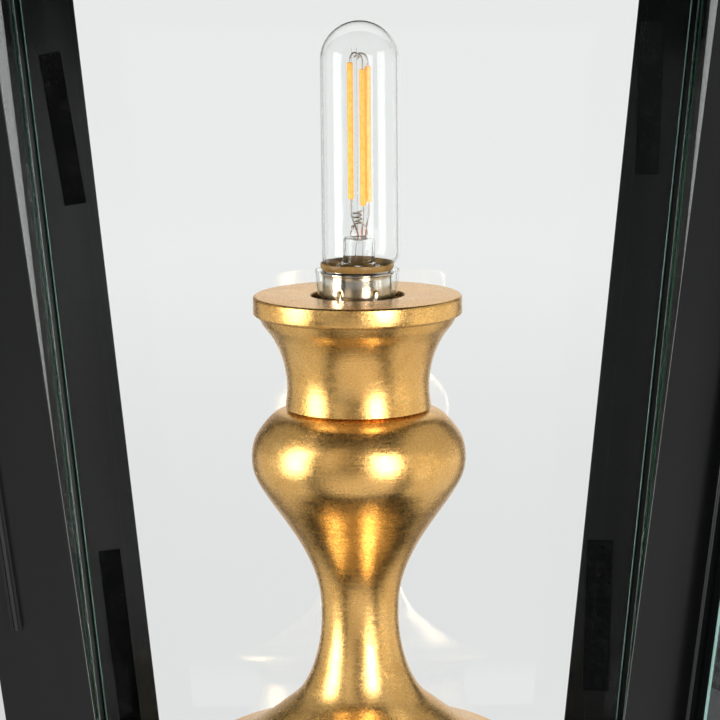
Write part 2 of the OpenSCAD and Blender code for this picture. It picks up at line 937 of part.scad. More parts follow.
module hinge_leaves() {
    side_y = 1.5 * knuckle_l;
    mid_y = knuckle_l / 2 - knuckle_gap;
    color(steel)
        swung()
            for (v = hinge_v)
                at_hinge(v)
                    difference() {
                        union() {
                            translate([-leaf_w, -side_y, face_n])
                                cube([leaf_w - knuckle_r - leaf_clear, 2 * side_y, leaf_t]);
                            translate([-knuckle_r - leaf_clear - 1, -mid_y, face_n])
                                cube([knuckle_r + leaf_clear + 1, 2 * mid_y, leaf_t]);
                            along_hinge(-mid_y, mid_y, knuckle_r);
                        }
                        along_hinge(-mid_y - cut, mid_y + cut, pin_r + bore_gap);
                        for (y = [-leaf_screw_y, leaf_screw_y])
                            translate([leaf_screw_x, y, face_n - cut])
                                cylinder(r = leaf_screw_r + bore_gap, h = leaf_t + 2 * cut);
                    }
}

module leaf_screws() {
    color(nickel)
        swung()
            leaf_screw_places() {
                translate([0, 0, sheet_n])
                    cylinder(r = leaf_screw_r, h = door_t + leaf_t);
                translate([0, 0, face_n + leaf_t])
                    cylinder(r = leaf_screw_head_r, h = leaf_screw_head_h);
            }
}

// the half of each hinge that is brazed to the front right post
module hinge_lugs() {
    side_y = 1.5 * knuckle_l;
    side_w = bar_w - door_overlap - lug_gap - gap;
    color(steel)
        on_face(0)
            for (v = hinge_v)
                at_hinge(v)
                    difference() {
                        union() {
                            translate([lug_gap, -side_y - lug_tail, 0])
                                cube([side_w, 2 * (side_y + lug_tail), lug_t]);
                            for (s = [-1, 1])
                                translate([lug_gap, s * knuckle_l - knuckle_l / 2, 0])
                                    cube([side_w, knuckle_l, axis_n]);
                            for (s = [-1, 1])
                                along_hinge(s * knuckle_l - knuckle_l / 2, s * knuckle_l + knuckle_l / 2,
                                    knuckle_r);
                        }
                        along_hinge(-side_y - cut, side_y + cut, pin_r + bore_gap);
                    }
}

pin_head_h = 1.6;
pin_foot_h = 1;

module hinge_pins() {
    side_y = 1.5 * knuckle_l;
    color(nickel)
        on_face(0)
            for (v = hinge_v)
                at_hinge(v) {
                    along_hinge(-side_y, side_y, pin_r);
                    along_hinge(side_y, side_y + pin_head_h, pin_r + 1.1);
                    along_hinge(-side_y - pin_foot_h, -side_y, pin_r + 0.7);
                }
}

// the catch: a magnet bar between two steel plates, on the front left post
magnet_w = 1.5;
plate_w = 1.2;
plate_h = sheet_n - 2 * gap;
magnet_h = plate_h - 0.9;
catch_gap = 0.35;
catch_d = door_overlap - door_t - catch_gap - plate_w - magnet_w / 2;
catch_v = catch_z / cos(lean);

module at_catch() {
    on_face(0)
        mirror([1, 0, 0])
            translate([opening(catch_v) + catch_d, catch_v, 0])
                rotate([0, 0, -edge_lean])
                    children();
}

module catch_magnet() {
    color(tape)
        at_catch()
            translate([-magnet_w / 2, 0, 0])
                cube([magnet_w, catch_l, magnet_h]);
}

module catch_plates() {
    round_r = plate_w / 2;
    color(steel)
        at_catch()
            for (s = [-1, 1])
                translate([s * (magnet_w + plate_w) / 2, 0, 0]) {
                    translate([-round_r, 0, 0])
                        cube([plate_w, catch_l, plate_h - round_r]);
                    translate([0, 0, plate_h - round_r])
                        rotate([-90, 0, 0])
                            cylinder(r = round_r, h = catch_l, $fn = 24);
                }
}

felt_pad();
base_cover();
cover_standoffs();
cover_screws();
plinth_step();
plinth_box();
cord_grommet();
floor_plate();
post(0);  // post_front_right
post(1);  // post_rear_right
post(2);  // post_rear_left
post(3);  // post_front_left
bottom_rail(0);  // bottom_rail_front
bottom_rail(1);  // bottom_rail_right
bottom_rail(2);  // bottom_rail_rear
bottom_rail(3);  // bottom_rail_left
top_rail(0);  // top_rail_front
top_rail(1);  // top_rail_right
top_rail(2);  // top_rail_rear
top_rail(3);  // top_rail_left
pane(1);  // right_pane
pane(2);  // rear_pane
pane(3);  // left_pane
pane_pads();
eave_plate();
roof_hood();
roof_screws();
vent_collar();
vent_cap();
finial();
ring_handle();
pedestal_foot();
pedestal_body();
pedestal_neck();
lamp_pipe();
pipe_washer();
pipe_nut();
socket_base();
socket_shell();
socket_contact();
socket_sleeve();
bulb_glass();
bulb_stem();
bulb_filaments();
bulb_wires();
bulb_cap();
bulb_insulator();
bulb_contact();
door_frame();
door_pane();
door_pads();
door_knob();
hinge_leaves();
leaf_screws();
hinge_lugs();
hinge_pins();
catch_magnet();
catch_plates();
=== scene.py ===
import json
from math import cos, pi, radians, sin

import bmesh
import bpy
from mathutils import Matrix, Vector, noise

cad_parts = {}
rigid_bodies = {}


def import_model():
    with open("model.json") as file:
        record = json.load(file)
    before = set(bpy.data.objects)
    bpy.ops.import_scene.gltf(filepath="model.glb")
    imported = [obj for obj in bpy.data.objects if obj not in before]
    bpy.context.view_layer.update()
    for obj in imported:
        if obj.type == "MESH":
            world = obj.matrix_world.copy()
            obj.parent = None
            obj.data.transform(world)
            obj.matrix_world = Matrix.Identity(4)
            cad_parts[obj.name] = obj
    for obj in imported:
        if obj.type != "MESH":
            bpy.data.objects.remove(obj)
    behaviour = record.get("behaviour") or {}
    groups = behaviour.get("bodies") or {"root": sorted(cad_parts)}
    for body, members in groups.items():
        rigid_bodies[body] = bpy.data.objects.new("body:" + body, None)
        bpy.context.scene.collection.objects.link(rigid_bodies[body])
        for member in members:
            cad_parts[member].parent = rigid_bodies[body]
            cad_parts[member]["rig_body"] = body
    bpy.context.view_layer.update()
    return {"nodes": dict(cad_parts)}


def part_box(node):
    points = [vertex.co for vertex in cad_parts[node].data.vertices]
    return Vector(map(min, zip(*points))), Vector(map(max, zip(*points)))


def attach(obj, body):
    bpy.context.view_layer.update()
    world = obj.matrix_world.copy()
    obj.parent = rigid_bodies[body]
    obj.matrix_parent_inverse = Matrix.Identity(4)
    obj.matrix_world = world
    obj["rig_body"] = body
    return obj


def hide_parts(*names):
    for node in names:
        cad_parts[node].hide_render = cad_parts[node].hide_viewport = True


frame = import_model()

# ---------- camera ----------
# A long lens stands 1.2 m before the lamp, with its door open, and looks slightly down on the
# bulb and the gilt stem.
link = bpy.context.scene.collection.objects.link
camera = bpy.data.objects.new("camera", bpy.data.cameras.new("camera"))
link(camera)
camera.data.sensor_width = 36
camera.data.lens = 158.3
camera.data.clip_start = 0.05
camera_place = Vector((0.0039, -1.2035, 0.4739))
camera_pan = radians(0.149)
camera_tilt = radians(90 - 9.41)
camera_roll = radians(-0.469)
camera.matrix_world = (Matrix.Translation(camera_place) @ Matrix.Rotation(camera_pan, 4, "Z")
                       @ Matrix.Rotation(camera_tilt, 4, "X") @ Matrix.Rotation(camera_roll, 4, "Z"))
bpy.context.scene.camera = camera
bpy.context.scene.view_settings.view_transform = "Standard"


# ---------- studio ----------
# A pale floor under the lamp, a soft box beside it on the left, one in front on the right and a
# weak one overhead. The pale ground is seen by the eye, by metal and through glass.
def add(tree, kind, **values):
    """A new node in a tree, with its settings and its unlinked inputs given by name."""
    made = tree.nodes.new(kind)
    for name, value in values.items():
        if hasattr(made, name):
            setattr(made, name, value)
        else:
            made.inputs[name.replace("_", " ")].default_value = value
    return made


def join(tree, source, target):
    tree.links.new(source, target)


def give(tree, value, target):
    """A socket gets a link, if the value is a socket too, or else the plain value."""
    if isinstance(value, bpy.types.NodeSocket):
        join(tree, value, target)
    else:
        target.default_value = value


def worked(tree, operation, first, second=0.0):
    """Arithmetic on one or two values, each a socket or a number."""
    node = add(tree, "ShaderNodeMath", operation=operation)
    give(tree, first, node.inputs[0])
    give(tree, second, node.inputs[1])
    return node.outputs[0]


def blended(tree, share, colour, other):
    """One colour where the share is 0, and the other where it is 1. Each is a socket or a colour."""
    mix = add(tree, "ShaderNodeMix", data_type="RGBA")
    join(tree, share, mix.inputs["Factor"])
    for value, target in ((colour, mix.inputs[6]), (other, mix.inputs[7])):
        give(tree, (*value, 1) if isinstance(value, tuple) else value, target)
    return mix.outputs[2]


def seen_share(tree, *kinds):
    """1 where the ray is one of the kinds given, and 0 for the light that lamps throw."""
    path = add(tree, "ShaderNodeLightPath")
    total = path.outputs[kinds[0]]
    for kind in kinds[1:]:
        total = worked(tree, "MAXIMUM", total, path.outputs[kind])
    return total


def apart(tree, vector):
    """The X, Y and Z of a vector."""
    split = add(tree, "ShaderNodeSeparateXYZ")
    join(tree, vector, split.inputs[0])
    return split.outputs


def on_object(tree):
    return add(tree, "ShaderNodeTexCoord").outputs["Object"]


def new_finish(name):
    """A material with its tree and its Principled shader."""
    made = bpy.data.materials.new(name)
    made.use_nodes = True
    return made, made.node_tree, made.node_tree.nodes["Principled BSDF"]


GROUND_TOP = (0.812, 0.812, 0.809)
GROUND_LOW = (0.655, 0.650, 0.652)
LEVEL_IN_FRONT = 0.90
LEVEL_BEHIND = 1.30
FILL_LEVEL = 0.30

world = bpy.data.worlds.new("studio")
bpy.context.scene.world = world
world.use_nodes = True
sky = world.node_tree
sky.nodes.clear()
way = apart(sky, add(sky, "ShaderNodeTexCoord").outputs["Generated"])


def span(tree, value, low, high, to_low=0.0, to_high=1.0, course="LINEAR"):
    """Maps low..high to to_low..to_high and stops there."""
    step = add(tree, "ShaderNodeMapRange", interpolation_type=course)
    for label, level in (("From Min", low), ("From Max", high), ("To Min", to_low), ("To Max", to_high)):
        step.inputs[label].default_value = level
    join(tree, value, step.inputs["Value"])
    return step.outputs[0]


def faded(tree, value, low, high, to_low, to_high):
    """The same as a soft step."""
    return span(tree, value, low, high, to_low, to_high, "SMOOTHSTEP")


def in_metal(tree):
    """1 where the ray has been reflected, even if it then went on through a pane."""
    return worked(tree, "GREATER_THAN", add(tree, "ShaderNodeLightPath").outputs["Glossy Depth"], 0.5)


def shown_to(tree, share, shown, others):
    """One shader where the share is 1, and another where it is 0."""
    choice = add(tree, "ShaderNodeMixShader")
    join(tree, share, choice.inputs[0])
    join(tree, others, choice.inputs[1])
    join(tree, shown, choice.inputs[2])
    return choice.outputs[0]


# how bright the studio is in metal, by degrees round the lamp from the camera towards the right
ROOM = ((-180, 1.00), (-172, 0.85), (-163, 0.34), (-140, 0.30), (-100, 0.36), (-60, 0.62),
        (-24, 0.72), (-13, 0.12), (9, 0.12), (18, 0.72), (60, 0.60), (82, 0.66), (125, 0.58),
        (150, 0.62), (168, 0.90), (180, 1.00))
turn = worked(sky, "ARCTAN2", way["X"], worked(sky, "MULTIPLY", way["Y"], -1.0))
room = add(sky, "ShaderNodeValToRGB")
stops = room.color_ramp.elements
for index, (angle, grey) in enumerate(ROOM):
    stop = stops[index] if index < 2 else stops.new(1)
    stop.position = angle / 360 + 0.5
    stop.color = (grey, grey, grey, 1)
join(sky, span(sky, turn, -pi, pi), room.inputs[0])
mirrored = add(sky, "ShaderNodeBackground")
mirrored.inputs["Color"].default_value = (1.0, 0.985, 0.96, 1)
join(sky, room.outputs["Color"], mirrored.inputs["Strength"])
through = add(sky, "ShaderNodeBackground", Color=(*GROUND_TOP, 1))
join(sky, faded(sky, way["Y"], -0.3, 0.5, LEVEL_IN_FRONT, LEVEL_BEHIND), through.inputs["Strength"])
pale = add(sky, "ShaderNodeBackground", Color=(*GROUND_TOP, 1), Strength=1.0)
fill = add(sky, "ShaderNodeBackground", Color=(1.0, 1.0, 1.0, 1), Strength=FILL_LEVEL)
surround = shown_to(sky, seen_share(sky, "Is Transmission Ray"), through.outputs[0], fill.outputs[0])
surround = shown_to(sky, in_metal(sky), mirrored.outputs[0], surround)
surround = shown_to(sky, seen_share(sky, "Is Camera Ray"), pale.outputs[0], surround)
join(sky, surround, add(sky, "ShaderNodeOutputWorld").inputs["Surface"])

FLOOR_R = 14.0
OWN_LIGHT = 0.8
floor_shape = bmesh.new()
bmesh.ops.create_circle(floor_shape, cap_ends=True, segments=96, radius=FLOOR_R)
floor_mesh = bpy.data.meshes.new("floor")
floor_shape.to_mesh(floor_mesh)
floor_shape.free()
floor = bpy.data.objects.new("floor", floor_mesh)
link(floor)
floor_paint, tree, matt = new_finish("pale_floor")
matt.inputs["Base Color"].default_value = (0.78, 0.785, 0.785, 1)
matt.inputs["Roughness"].default_value = 0.9
# the floor is a little darker near the lamp than far behind it, and dark where the studio is dark
place = on_object(tree)
far = add(tree, "ShaderNodeVectorMath", operation="LENGTH")
join(tree, place, far.inputs[0])
tone = blended(tree, faded(tree, far.outputs["Value"], 0.4, 2.6, 0, 1), GROUND_LOW, GROUND_TOP)
along = apart(tree, place)


def glowing(strength):
    light = add(tree, "ShaderNodeEmission")
    join(tree, tone, light.inputs["Color"])
    give(tree, strength, light.inputs["Strength"])
    return light


glow = glowing(1.0)
near_level = worked(tree, "MULTIPLY", faded(tree, along["Y"], -1.5, -0.5, 0.64, 1.20),
                    faded(tree, along["Y"], -2.9, -2.1, 0.12, 1.0))
reflected = glowing(worked(tree, "MULTIPLY", near_level, faded(tree, along["X"], -0.9, 0.4, 0.66, 1.0)))
beyond = glowing(faded(tree, along["Y"], -0.5, 0.3, LEVEL_IN_FRONT, LEVEL_BEHIND))
seen = {}
for kind, own_light in (("Is Camera Ray", glow), ("Is Transmission Ray", beyond)):
    mixed = add(tree, "ShaderNodeMixShader")
    mixed.inputs[0].default_value = OWN_LIGHT
    join(tree, matt.outputs[0], mixed.inputs[1])
    join(tree, own_light.outputs[0], mixed.inputs[2])
    seen[kind] = mixed.outputs[0]
ground = shown_to(tree, seen_share(tree, "Is Transmission Ray"), seen["Is Transmission Ray"], matt.outputs[0])
ground = shown_to(tree, in_metal(tree), reflected.outputs[0], ground)
ground = shown_to(tree, seen_share(tree, "Is Camera Ray"), seen["Is Camera Ray"], ground)
join(tree, ground, tree.nodes["Material Output"].inputs["Surface"])
floor_mesh.materials.append(floor_paint)


def soft_box(name, place, target, width, height, power):
    """A lamp behind a cloth of this width and height, with its power in watts."""
    lamp = bpy.data.lights.new(name, "AREA")
    lamp.shape = "RECTANGLE"
    lamp.size = width
    lamp.size_y = height
    lamp.energy = power
    holder = bpy.data.objects.new(name, lamp)
    holder.location = place
    holder.rotation_euler = (Vector(target) - Vector(place)).to_track_quat("-Z", "Y").to_euler()
    holder.visible_camera = False
    link(holder)
    return holder


soft_box("left_box", (-1.10, -0.40, 0.50), (0, 0, 0.40), 0.58, 1.15, 13.0)
right_box = soft_box("right_box", (0.80, -1.44, 0.66), (0, 0, 0.50), 0.54, 1.35, 24.0)
# the panes let its lamplight by already, so rays that are bent through glass don't meet it again
right_box.visible_transmission = False
soft_box("top_box", (0.1, 0.2, 1.9), (0, 0, 0.3), 1.4, 1.4, 19)


def dress(piece, material, *nodes):
    """The piece gets its material and rides with the solids that it stands for, which are hidden."""
    piece.data.materials.clear()
    piece.data.materials.append(material)
    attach(piece, frame["nodes"][nodes[0]]["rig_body"])
    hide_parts(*nodes)


def piece_of(shape, name):
    """A bmesh becomes an object at the origin."""
    mesh = bpy.data.meshes.new(name)
    shape.to_mesh(mesh)
    shape.free()
    piece = bpy.data.objects.new(name, mesh)
    link(piece)
    return piece


MM = 0.001
WELD = 2e-6
FLAT_WITHIN = radians(0.5)
EDGE_FROM = radians(25)
SHARP_FROM = radians(20)


def merged(node):
    """A solid's shape, with its loose triangles joined into whole faces."""
    shape = bmesh.new()
    shape.from_mesh(frame["nodes"][node].data)
    bmesh.ops.remove_doubles(shape, verts=shape.verts, dist=WELD)
    bmesh.ops.dissolve_limit(shape, angle_limit=FLAT_WITHIN, verts=shape.verts, edges=shape.edges)
    return shape


def eased(node, width, steps=2):
    """A copy of a solid with its sharp edges broken, as a file or a coat of paint leaves them."""
    shape = merged(node)
    sharp = [e for e in shape.edges if e.is_manifold and e.calc_face_angle(0) > EDGE_FROM]
    bmesh.ops.bevel(shape, geom=sharp, offset=width, offset_type="OFFSET", segments=steps, profile=0.5,
                    affect="EDGES", clamp_overlap=True)
    piece = piece_of(shape, node + "_shown")
    piece.data.shade_smooth()
    piece.data.set_sharp_from_angle(angle=SHARP_FROM)
    return piece


def group_tree(name, inputs, outputs):
    """An empty shader group with float inputs (name, value) and outputs (name, socket kind)."""
    made = bpy.data.node_groups.new(name, "ShaderNodeTree")
    for label, value in inputs:
        socket = made.interface.new_socket(name=label, in_out="INPUT", socket_type="NodeSocketFloat")
        socket.default_value = value
    for label, kind in outputs:
        made.interface.new_socket(name=label, in_out="OUTPUT", socket_type=kind)
    return made, made.nodes.new("NodeGroupInput"), made.nodes.new("NodeGroupOutput")


def grained_noise(made, vector, scale, detail=3.0, rough=0.5):
    """Cloudy noise round 0.5. The scale is a socket or a number."""
    field = add(made, "ShaderNodeTexNoise", Detail=detail, Roughness=rough)
    join(made, vector, field.inputs["Vector"])
    give(made, scale, field.inputs["Scale"])
    return field.outputs["Fac"]


def stretched(made, vector, scale):
    """The place in a pattern that is drawn out along an axis whose scale is small."""
    drawn = add(made, "ShaderNodeMapping")
    drawn.inputs["Scale"].default_value = scale
    join(made, vector, drawn.inputs["Vector"])
    return drawn.outputs[0]


def embossed(made, skin, height, strength, depth):
    """Lets a height show in the shader's normal."""
    raised = add(made, "ShaderNodeBump", Strength=strength, Distance=depth)
    join(made, height, raised.inputs["Height"])
    join(made, raised.outputs[0], skin.inputs["Normal"])


def sum_of(made, first, second, second_share):
    """The first value and a share of the second."""
    both = add(made, "ShaderNodeMath", operation="MULTIPLY_ADD")
    join(made, second, both.inputs[0])
    both.inputs[1].default_value = second_share
    join(made, first, both.inputs[2])
    return both.outputs[0]


# coat: the soft pebbling of sprayed or moulded black, fine rub marks, and dust that settles in patches
coat, coat_in, coat_out = group_tree(
    "coat", [("Pebble Scale", 900.0), ("Rub Scale", 60.0)],
    [("Height", "NodeSocketFloat"), ("Rubs", "NodeSocketFloat"), ("Dust", "NodeSocketFloat")])
where = on_object(coat)
pebble = grained_noise(coat, where, coat_in.outputs["Pebble Scale"], 2.0)
rub_way = stretched(coat, where, (1.0, 1.0, 0.06))
rubs = span(coat, grained_noise(coat, rub_way, coat_in.outputs["Rub Scale"], 6.0, 0.7), 0.42, 0.72)
dust = span(coat, grained_noise(coat, where, 14.0, 5.0, 0.65), 0.45, 0.75)
join(coat, pebble, coat_out.inputs["Height"])
join(coat, rubs, coat_out.inputs["Rubs"])
join(coat, dust, coat_out.inputs["Dust"])


def coated(name, colour, worn, rough, shine=0.5, pebble_scale=900.0, bump=0.04):
    """Sprayed or moulded black: the coat group drives its tone, its roughness and its pebbling."""
    paint, nodes, skin = new_finish(name)
    skin.inputs["Specular IOR Level"].default_value = shine
    effect = add(nodes, "ShaderNodeGroup")
    effect.node_tree = coat
    effect.inputs["Pebble Scale"].default_value = pebble_scale
    rubs = effect.outputs["Rubs"]
    both = sum_of(nodes, span(nodes, effect.outputs["Dust"], 0, 1, 0, 0.45), rubs, 0.4)
    join(nodes, blended(nodes, both, colour, worn), skin.inputs["Base Color"])
    join(nodes, span(nodes, rubs, 0, 1, rough + 0.06, rough - 0.05), skin.inputs["Roughness"])
    embossed(nodes, skin, effect.outputs["Height"], bump, 0.4 * MM)
    return paint


black_steel = coated("black_steel", (0.0030, 0.0032, 0.0036), (0.0056, 0.0060, 0.0066), 0.16, 0.37, bump=0.02)
STEEL_EASE = 0.25 * MM
FOLD = 1.3 * MM
HALF_WAY = 0.25
for corner in ("front_right", "rear_right", "rear_left", "front_left"):
    post = eased("post_" + corner, STEEL_EASE)
    if corner.startswith("front"):
        # the free edge of the front leg is folded back on itself, so it stands a little further in
        least = {end: min(abs(v.co.x) for v in post.data.vertices if (v.co.z > HALF_WAY) == end)
                 for end in (False, True)}
        for v in post.data.vertices:
            if abs(v.co.x) < least[v.co.z > HALF_WAY] + 2 * STEEL_EASE:
                v.co.x -= FOLD if v.co.x > 0 else -FOLD
    dress(post, black_steel, "post_" + corner)
for side in ("front", "right", "rear", "left"):
    for level in ("bottom_rail_", "top_rail_"):
        dress(eased(level + side, STEEL_EASE), black_steel, level + side)

# ---------- panes ----------
# Three panes of 3 mm float glass stand inside the cage, and a fourth in the door. Their edges are ground
# and arrised, so they look frosted and, along the depth of the glass, sea green.
LET_BY = 0.93


def clear_glass(name, tint, ior, rough, depth_tint, depth, clear_share=1.0):
    """Glass that lets the lamps' light through, and takes its colour from how deep one looks into it.
    A clear share below 1 leaves the rest of it white and frosted."""
    glass, nodes, body = new_finish(name)
    body.inputs["Base Color"].default_value = (*tint, 1)
    body.inputs["Roughness"].default_value = rough
    body.inputs["IOR"].default_value = ior
    body.inputs["Transmission Weight"].default_value = clear_share
    let_by = add(nodes, "ShaderNodeBsdfTransparent")
    let_by.inputs["Color"].default_value = (*[LET_BY * t for t in tint], 1)
    out = nodes.nodes["Material Output"]
    lamplight = seen_share(nodes, "Is Shadow Ray", "Is Diffuse Ray")
    join(nodes, shown_to(nodes, lamplight, let_by.outputs[0], body.outputs[0]), out.inputs["Surface"])
    if depth:
        soak = add(nodes, "ShaderNodeVolumeAbsorption", Density=depth)
        soak.inputs["Color"].default_value = (*depth_tint, 1)
        join(nodes, soak.outputs[0], out.inputs["Volume"])
    return glass


FLOAT_TINT = (0.55, 0.90, 0.80)
FLOAT_DEPTH = 9.0
pane_glass = clear_glass("pane_glass", (0.985, 1.0, 0.992), 1.52, 0.0, FLOAT_TINT, FLOAT_DEPTH)
ground_edge = clear_glass("ground_edge", (0.52, 0.86, 0.80), 1.52, 0.38, FLOAT_TINT, FLOAT_DEPTH,
                          clear_share=0.6)
ARRIS = 0.35 * MM


def glazed(node):
    """A pane whose two great faces are polished and whose edges and arrises are ground."""
    pane = eased(node, ARRIS, steps=1)
    areas = sorted((face.area for face in pane.data.polygons), reverse=True)
    dress(pane, pane_glass, node)
    pane.data.materials.append(ground_edge)
    for face in pane.data.polygons:
        face.material_index = 0 if face.area >= areas[1] * 0.99 else 1
        face.use_smooth = False


for side in ("right", "rear", "left"):
    glazed(side + "_pane")

# ---------- tape pads ----------
# Strips of black acrylic foam tape hold the glass to the steel. They are pressed on by hand, so air is
# trapped against the glass, and shows as grey bubbles and blotches.
TAPE_BLACK = (0.0010, 0.0010, 0.0011)
TRAPPED_AIR = (0.055, 0.055, 0.050)
PATTERN_START = (0.37, 0, 0)
foam_tape, tree, skin = new_finish("foam_tape")
centre = add(tree, "ShaderNodeMapping")
centre.inputs["Location"].default_value = PATTERN_START
join(tree, on_object(tree), centre.inputs["Vector"])
where = centre.outputs[0]
blotch = span(tree, grained_noise(tree, where, 130.0, 6.0, 0.75), 0.50, 0.66)
fleck = span(tree, grained_noise(tree, where, 900.0, 4.0, 0.7), 0.54, 0.66)
patches = span(tree, grained_noise(tree, where, 30.0, 3.0, 0.6), 0.53, 0.66)
silver = worked(tree, "MULTIPLY", fleck, patches)
stuck = span(tree, grained_noise(tree, where, 48.0, 5.0, 0.65), 0.66, 0.72)
air = sum_of(tree, sum_of(tree, span(tree, blotch, 0, 1, 0, 0.12), silver, 0.75), stuck, 0.9)
join(tree, blended(tree, air, TAPE_BLACK, TRAPPED_AIR), skin.inputs["Base Color"])
join(tree, span(tree, air, 0, 1, 0.66, 0.34), skin.inputs["Roughness"])
skin.inputs["Specular IOR Level"].default_value = 0.08
embossed(tree, skin, blotch, 0.3, 0.5 * MM)

TORN = 0.5 * MM
TEAR_SCALE = 230
TEAR_STEP = 1.6 * MM
TEAR_ROUNDS = 6
TAPE_SHARP = radians(32)


def torn_strips(node):
    """Strips cut and torn by hand: their edges wander in the plane of the strip."""
    shape = merged(node)
    broad = sorted(shape.faces, key=lambda f: -f.calc_area())[:len(shape.faces) // 3]
    facing = {v: face.normal.copy() for face in broad for v in face.verts}
    for cut in range(TEAR_ROUNDS):
        long_edges = [e for e in shape.edges if e.calc_length() > TEAR_STEP]
        if not long_edges:
            break
        middles = bmesh.ops.subdivide_edges(shape, edges=long_edges, cuts=1, use_grid_fill=True)
        for v in middles["geom_inner"]:
            if isinstance(v, bmesh.types.BMVert) and v not in facing:
                known = [facing[e.other_vert(v)] for e in v.link_edges if e.other_vert(v) in facing]
                if known:
                    facing[v] = known[0]
    for v in shape.verts:
        if v in facing:
            push = noise.noise_vector(v.co * TEAR_SCALE) + 0.5 * noise.noise_vector(v.co * TEAR_SCALE * 3)
            v.co += TORN * (push - push.dot(facing[v]) * facing[v])
    piece = piece_of(shape, node + "_shown")
    piece.data.set_sharp_from_angle(angle=TAPE_SHARP)
    return piece


dress(torn_strips("pane_pads"), foam_tape, "pane_pads")

# ---------- door ----------
# A shallow steel tray with a pane taped in its back. It swings on two surface hinges at the front right
# corner and is held shut by a magnet strip on the front left one.
for node in ("door_frame", "hinge_leaves", "hinge_lugs"):
    dress(eased(node, STEEL_EASE), black_steel, node)
glazed("door_pane")
dress(torn_strips("door_pads"), foam_tape, "door_pads")
ferrite = coated("ferrite", (0.022, 0.022, 0.023), (0.040, 0.039, 0.038), 0.62, 0.3, 1600.0, 0.12)
for node, finish in (("door_knob", black_steel), ("catch_plates", black_steel), ("catch_magnet", ferrite)):
    dress(eased(node, 0.1 * MM), finish, node)

# ---------- roof ----------
# The eave plate is welded on the cage. The hood is folded from one sheet and screwed on from below,
# and carries the slotted vent collar, the cap, and a cast eye with its carrying ring.
for node in ("eave_plate", "roof_hood", "vent_collar", "vent_cap", "finial", "ring_handle"):
    dress(eased(node, STEEL_EASE), black_steel, node)

# ---------- base ----------
# A folded step and a plinth box with the floor plate on top, closed below by a cover plate with a felt
# pad glued under it, and a rubber grommet at the back.
for node in ("plinth_step", "plinth_box", "floor_plate", "base_cover"):
    dress(eased(node, STEEL_EASE), black_steel, node)
rubber = coated("rubber", (0.014, 0.014, 0.015), (0.030, 0.030, 0.030), 0.60, 0.35, 700.0, 0.10)
dress(eased("cord_grommet", 0.4 * MM), rubber, "cord_grommet")

FELT_DEEP = (0.020, 0.019, 0.018)
FELT_TIPS = (0.085, 0.080, 0.074)
felt, tree, skin = new_finish("felt")
skin.inputs["Roughness"].default_value = 0.95
skin.inputs["Sheen Weight"].default_value = 0.3
fibres = grained_noise(tree, on_object(tree), 900.0, 8.0, 0.75)
join(tree, blended(tree, span(tree, fibres, 0.35, 0.7), FELT_DEEP, FELT_TIPS), skin.inputs["Base Color"])
embossed(tree, skin, fibres, 0.8, 0.6 * MM)
dress(eased("felt_pad", 0.4 * MM), felt, "felt_pad")

# ---------- pedestal ----------
# Three turned pieces of wood on a threaded pipe: a spreading foot, a vase with a thin waist, and a
# flared neck under a flat disc. They are gessoed, gilded with leaf and rubbed, so the leaf is
# creased and crazed, and thin over the edges.
DISC_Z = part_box("pedestal_neck")[1][2]
FOOT_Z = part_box("pedestal_foot")[0][2]
LATHE_STEPS = 160
TURNED_SHARP = radians(40)


def curve(points, steps):
    """A smooth line through the points of a profile."""
    first = [2 * end - next_in for end, next_in in zip(points[0], points[1])]
    last = [2 * end - next_in for end, next_in in zip(points[-1], points[-2])]
    run = [first, *points, last]
    line = []
    for stretch in zip(run, run[1:], run[2:], run[3:]):
        for step in range(steps):
            t = step / steps
            line.append(tuple(0.5 * (2 * b + (c - a) * t + (2 * a - 5 * b + 4 * c - d) * t * t
                                     + (3 * b - 3 * c + d - a) * t ** 3) for a, b, c, d in zip(*stretch)))
    return line + [tuple(points[-1])]


def arc(r, z, radius, start, end, steps=5):
    """Points round a corner of a profile, in degrees from +r towards +z."""
    return [(r + radius * cos(radians(start + (end - start) * k / steps)),
             z + radius * sin(radians(start + (end - start) * k / steps))) for k in range(steps + 1)]


def turned(name, outline, steps=LATHE_STEPS):
    """A closed outline of (radius, height above the disc) in mm, turned round the lamp's axis."""
    shape = bmesh.new()
    rings = []
    for r, z in outline:
        height = DISC_Z + z * MM
        if r < 1e-6:
            rings.append([shape.verts.new((0, 0, height))])
        else:
            rings.append([shape.verts.new((r * MM * cos(2 * pi * k / steps), r * MM * sin(2 * pi * k / steps),
                                           height)) for k in range(steps)])
    for low, high in zip(rings, rings[1:] + rings[:1]):
        for k in range(steps):
            n = (k + 1) % steps
            corners = [low[k % len(low)], low[n % len(low)], high[n % len(high)], high[k % len(high)]]
            corners = [v for i, v in enumerate(corners) if v not in corners[:i]]
            if len(corners) > 2:
                shape.faces.new(corners)
    bmesh.ops.recalc_face_normals(shape, faces=shape.faces)
    piece = piece_of(shape, name)
    piece.data.shade_smooth()
    piece.data.set_sharp_from_angle(angle=TURNED_SHARP)
    return piece


DEEP_GOLD = (0.86, 0.452, 0.116)
PALE_GOLD = (0.99, 0.600, 0.214)
# the bole colour, which also serves as the painted shade in the seams and the hole
BOLE_AND_SHADE = (0.20, 0.095, 0.028)
gilding, tree, leaf = new_finish("gold_leaf")
leaf.inputs["Metallic"].default_value = 1.0
where = on_object(tree)
# soft tone changes from leaf to leaf, and long faint strokes round the turning
tones = span(tree, grained_noise(tree, where, 34.0, 6.0, 0.66), 0.33, 0.68)
strokes = grained_noise(tree, stretched(tree, where, (0.22, 0.22, 3.0)), 330.0, 5.0, 0.72)
# crumpled leaf, stronger in some places than in others
crumple = grained_noise(tree, where, 820.0, 4.0, 0.68)
loose = span(tree, grained_noise(tree, where, 85.0, 4.0, 0.6), 0.44, 0.62, 0.25, 1)
crumpled = worked(tree, "MULTIPLY", crumple, loose)
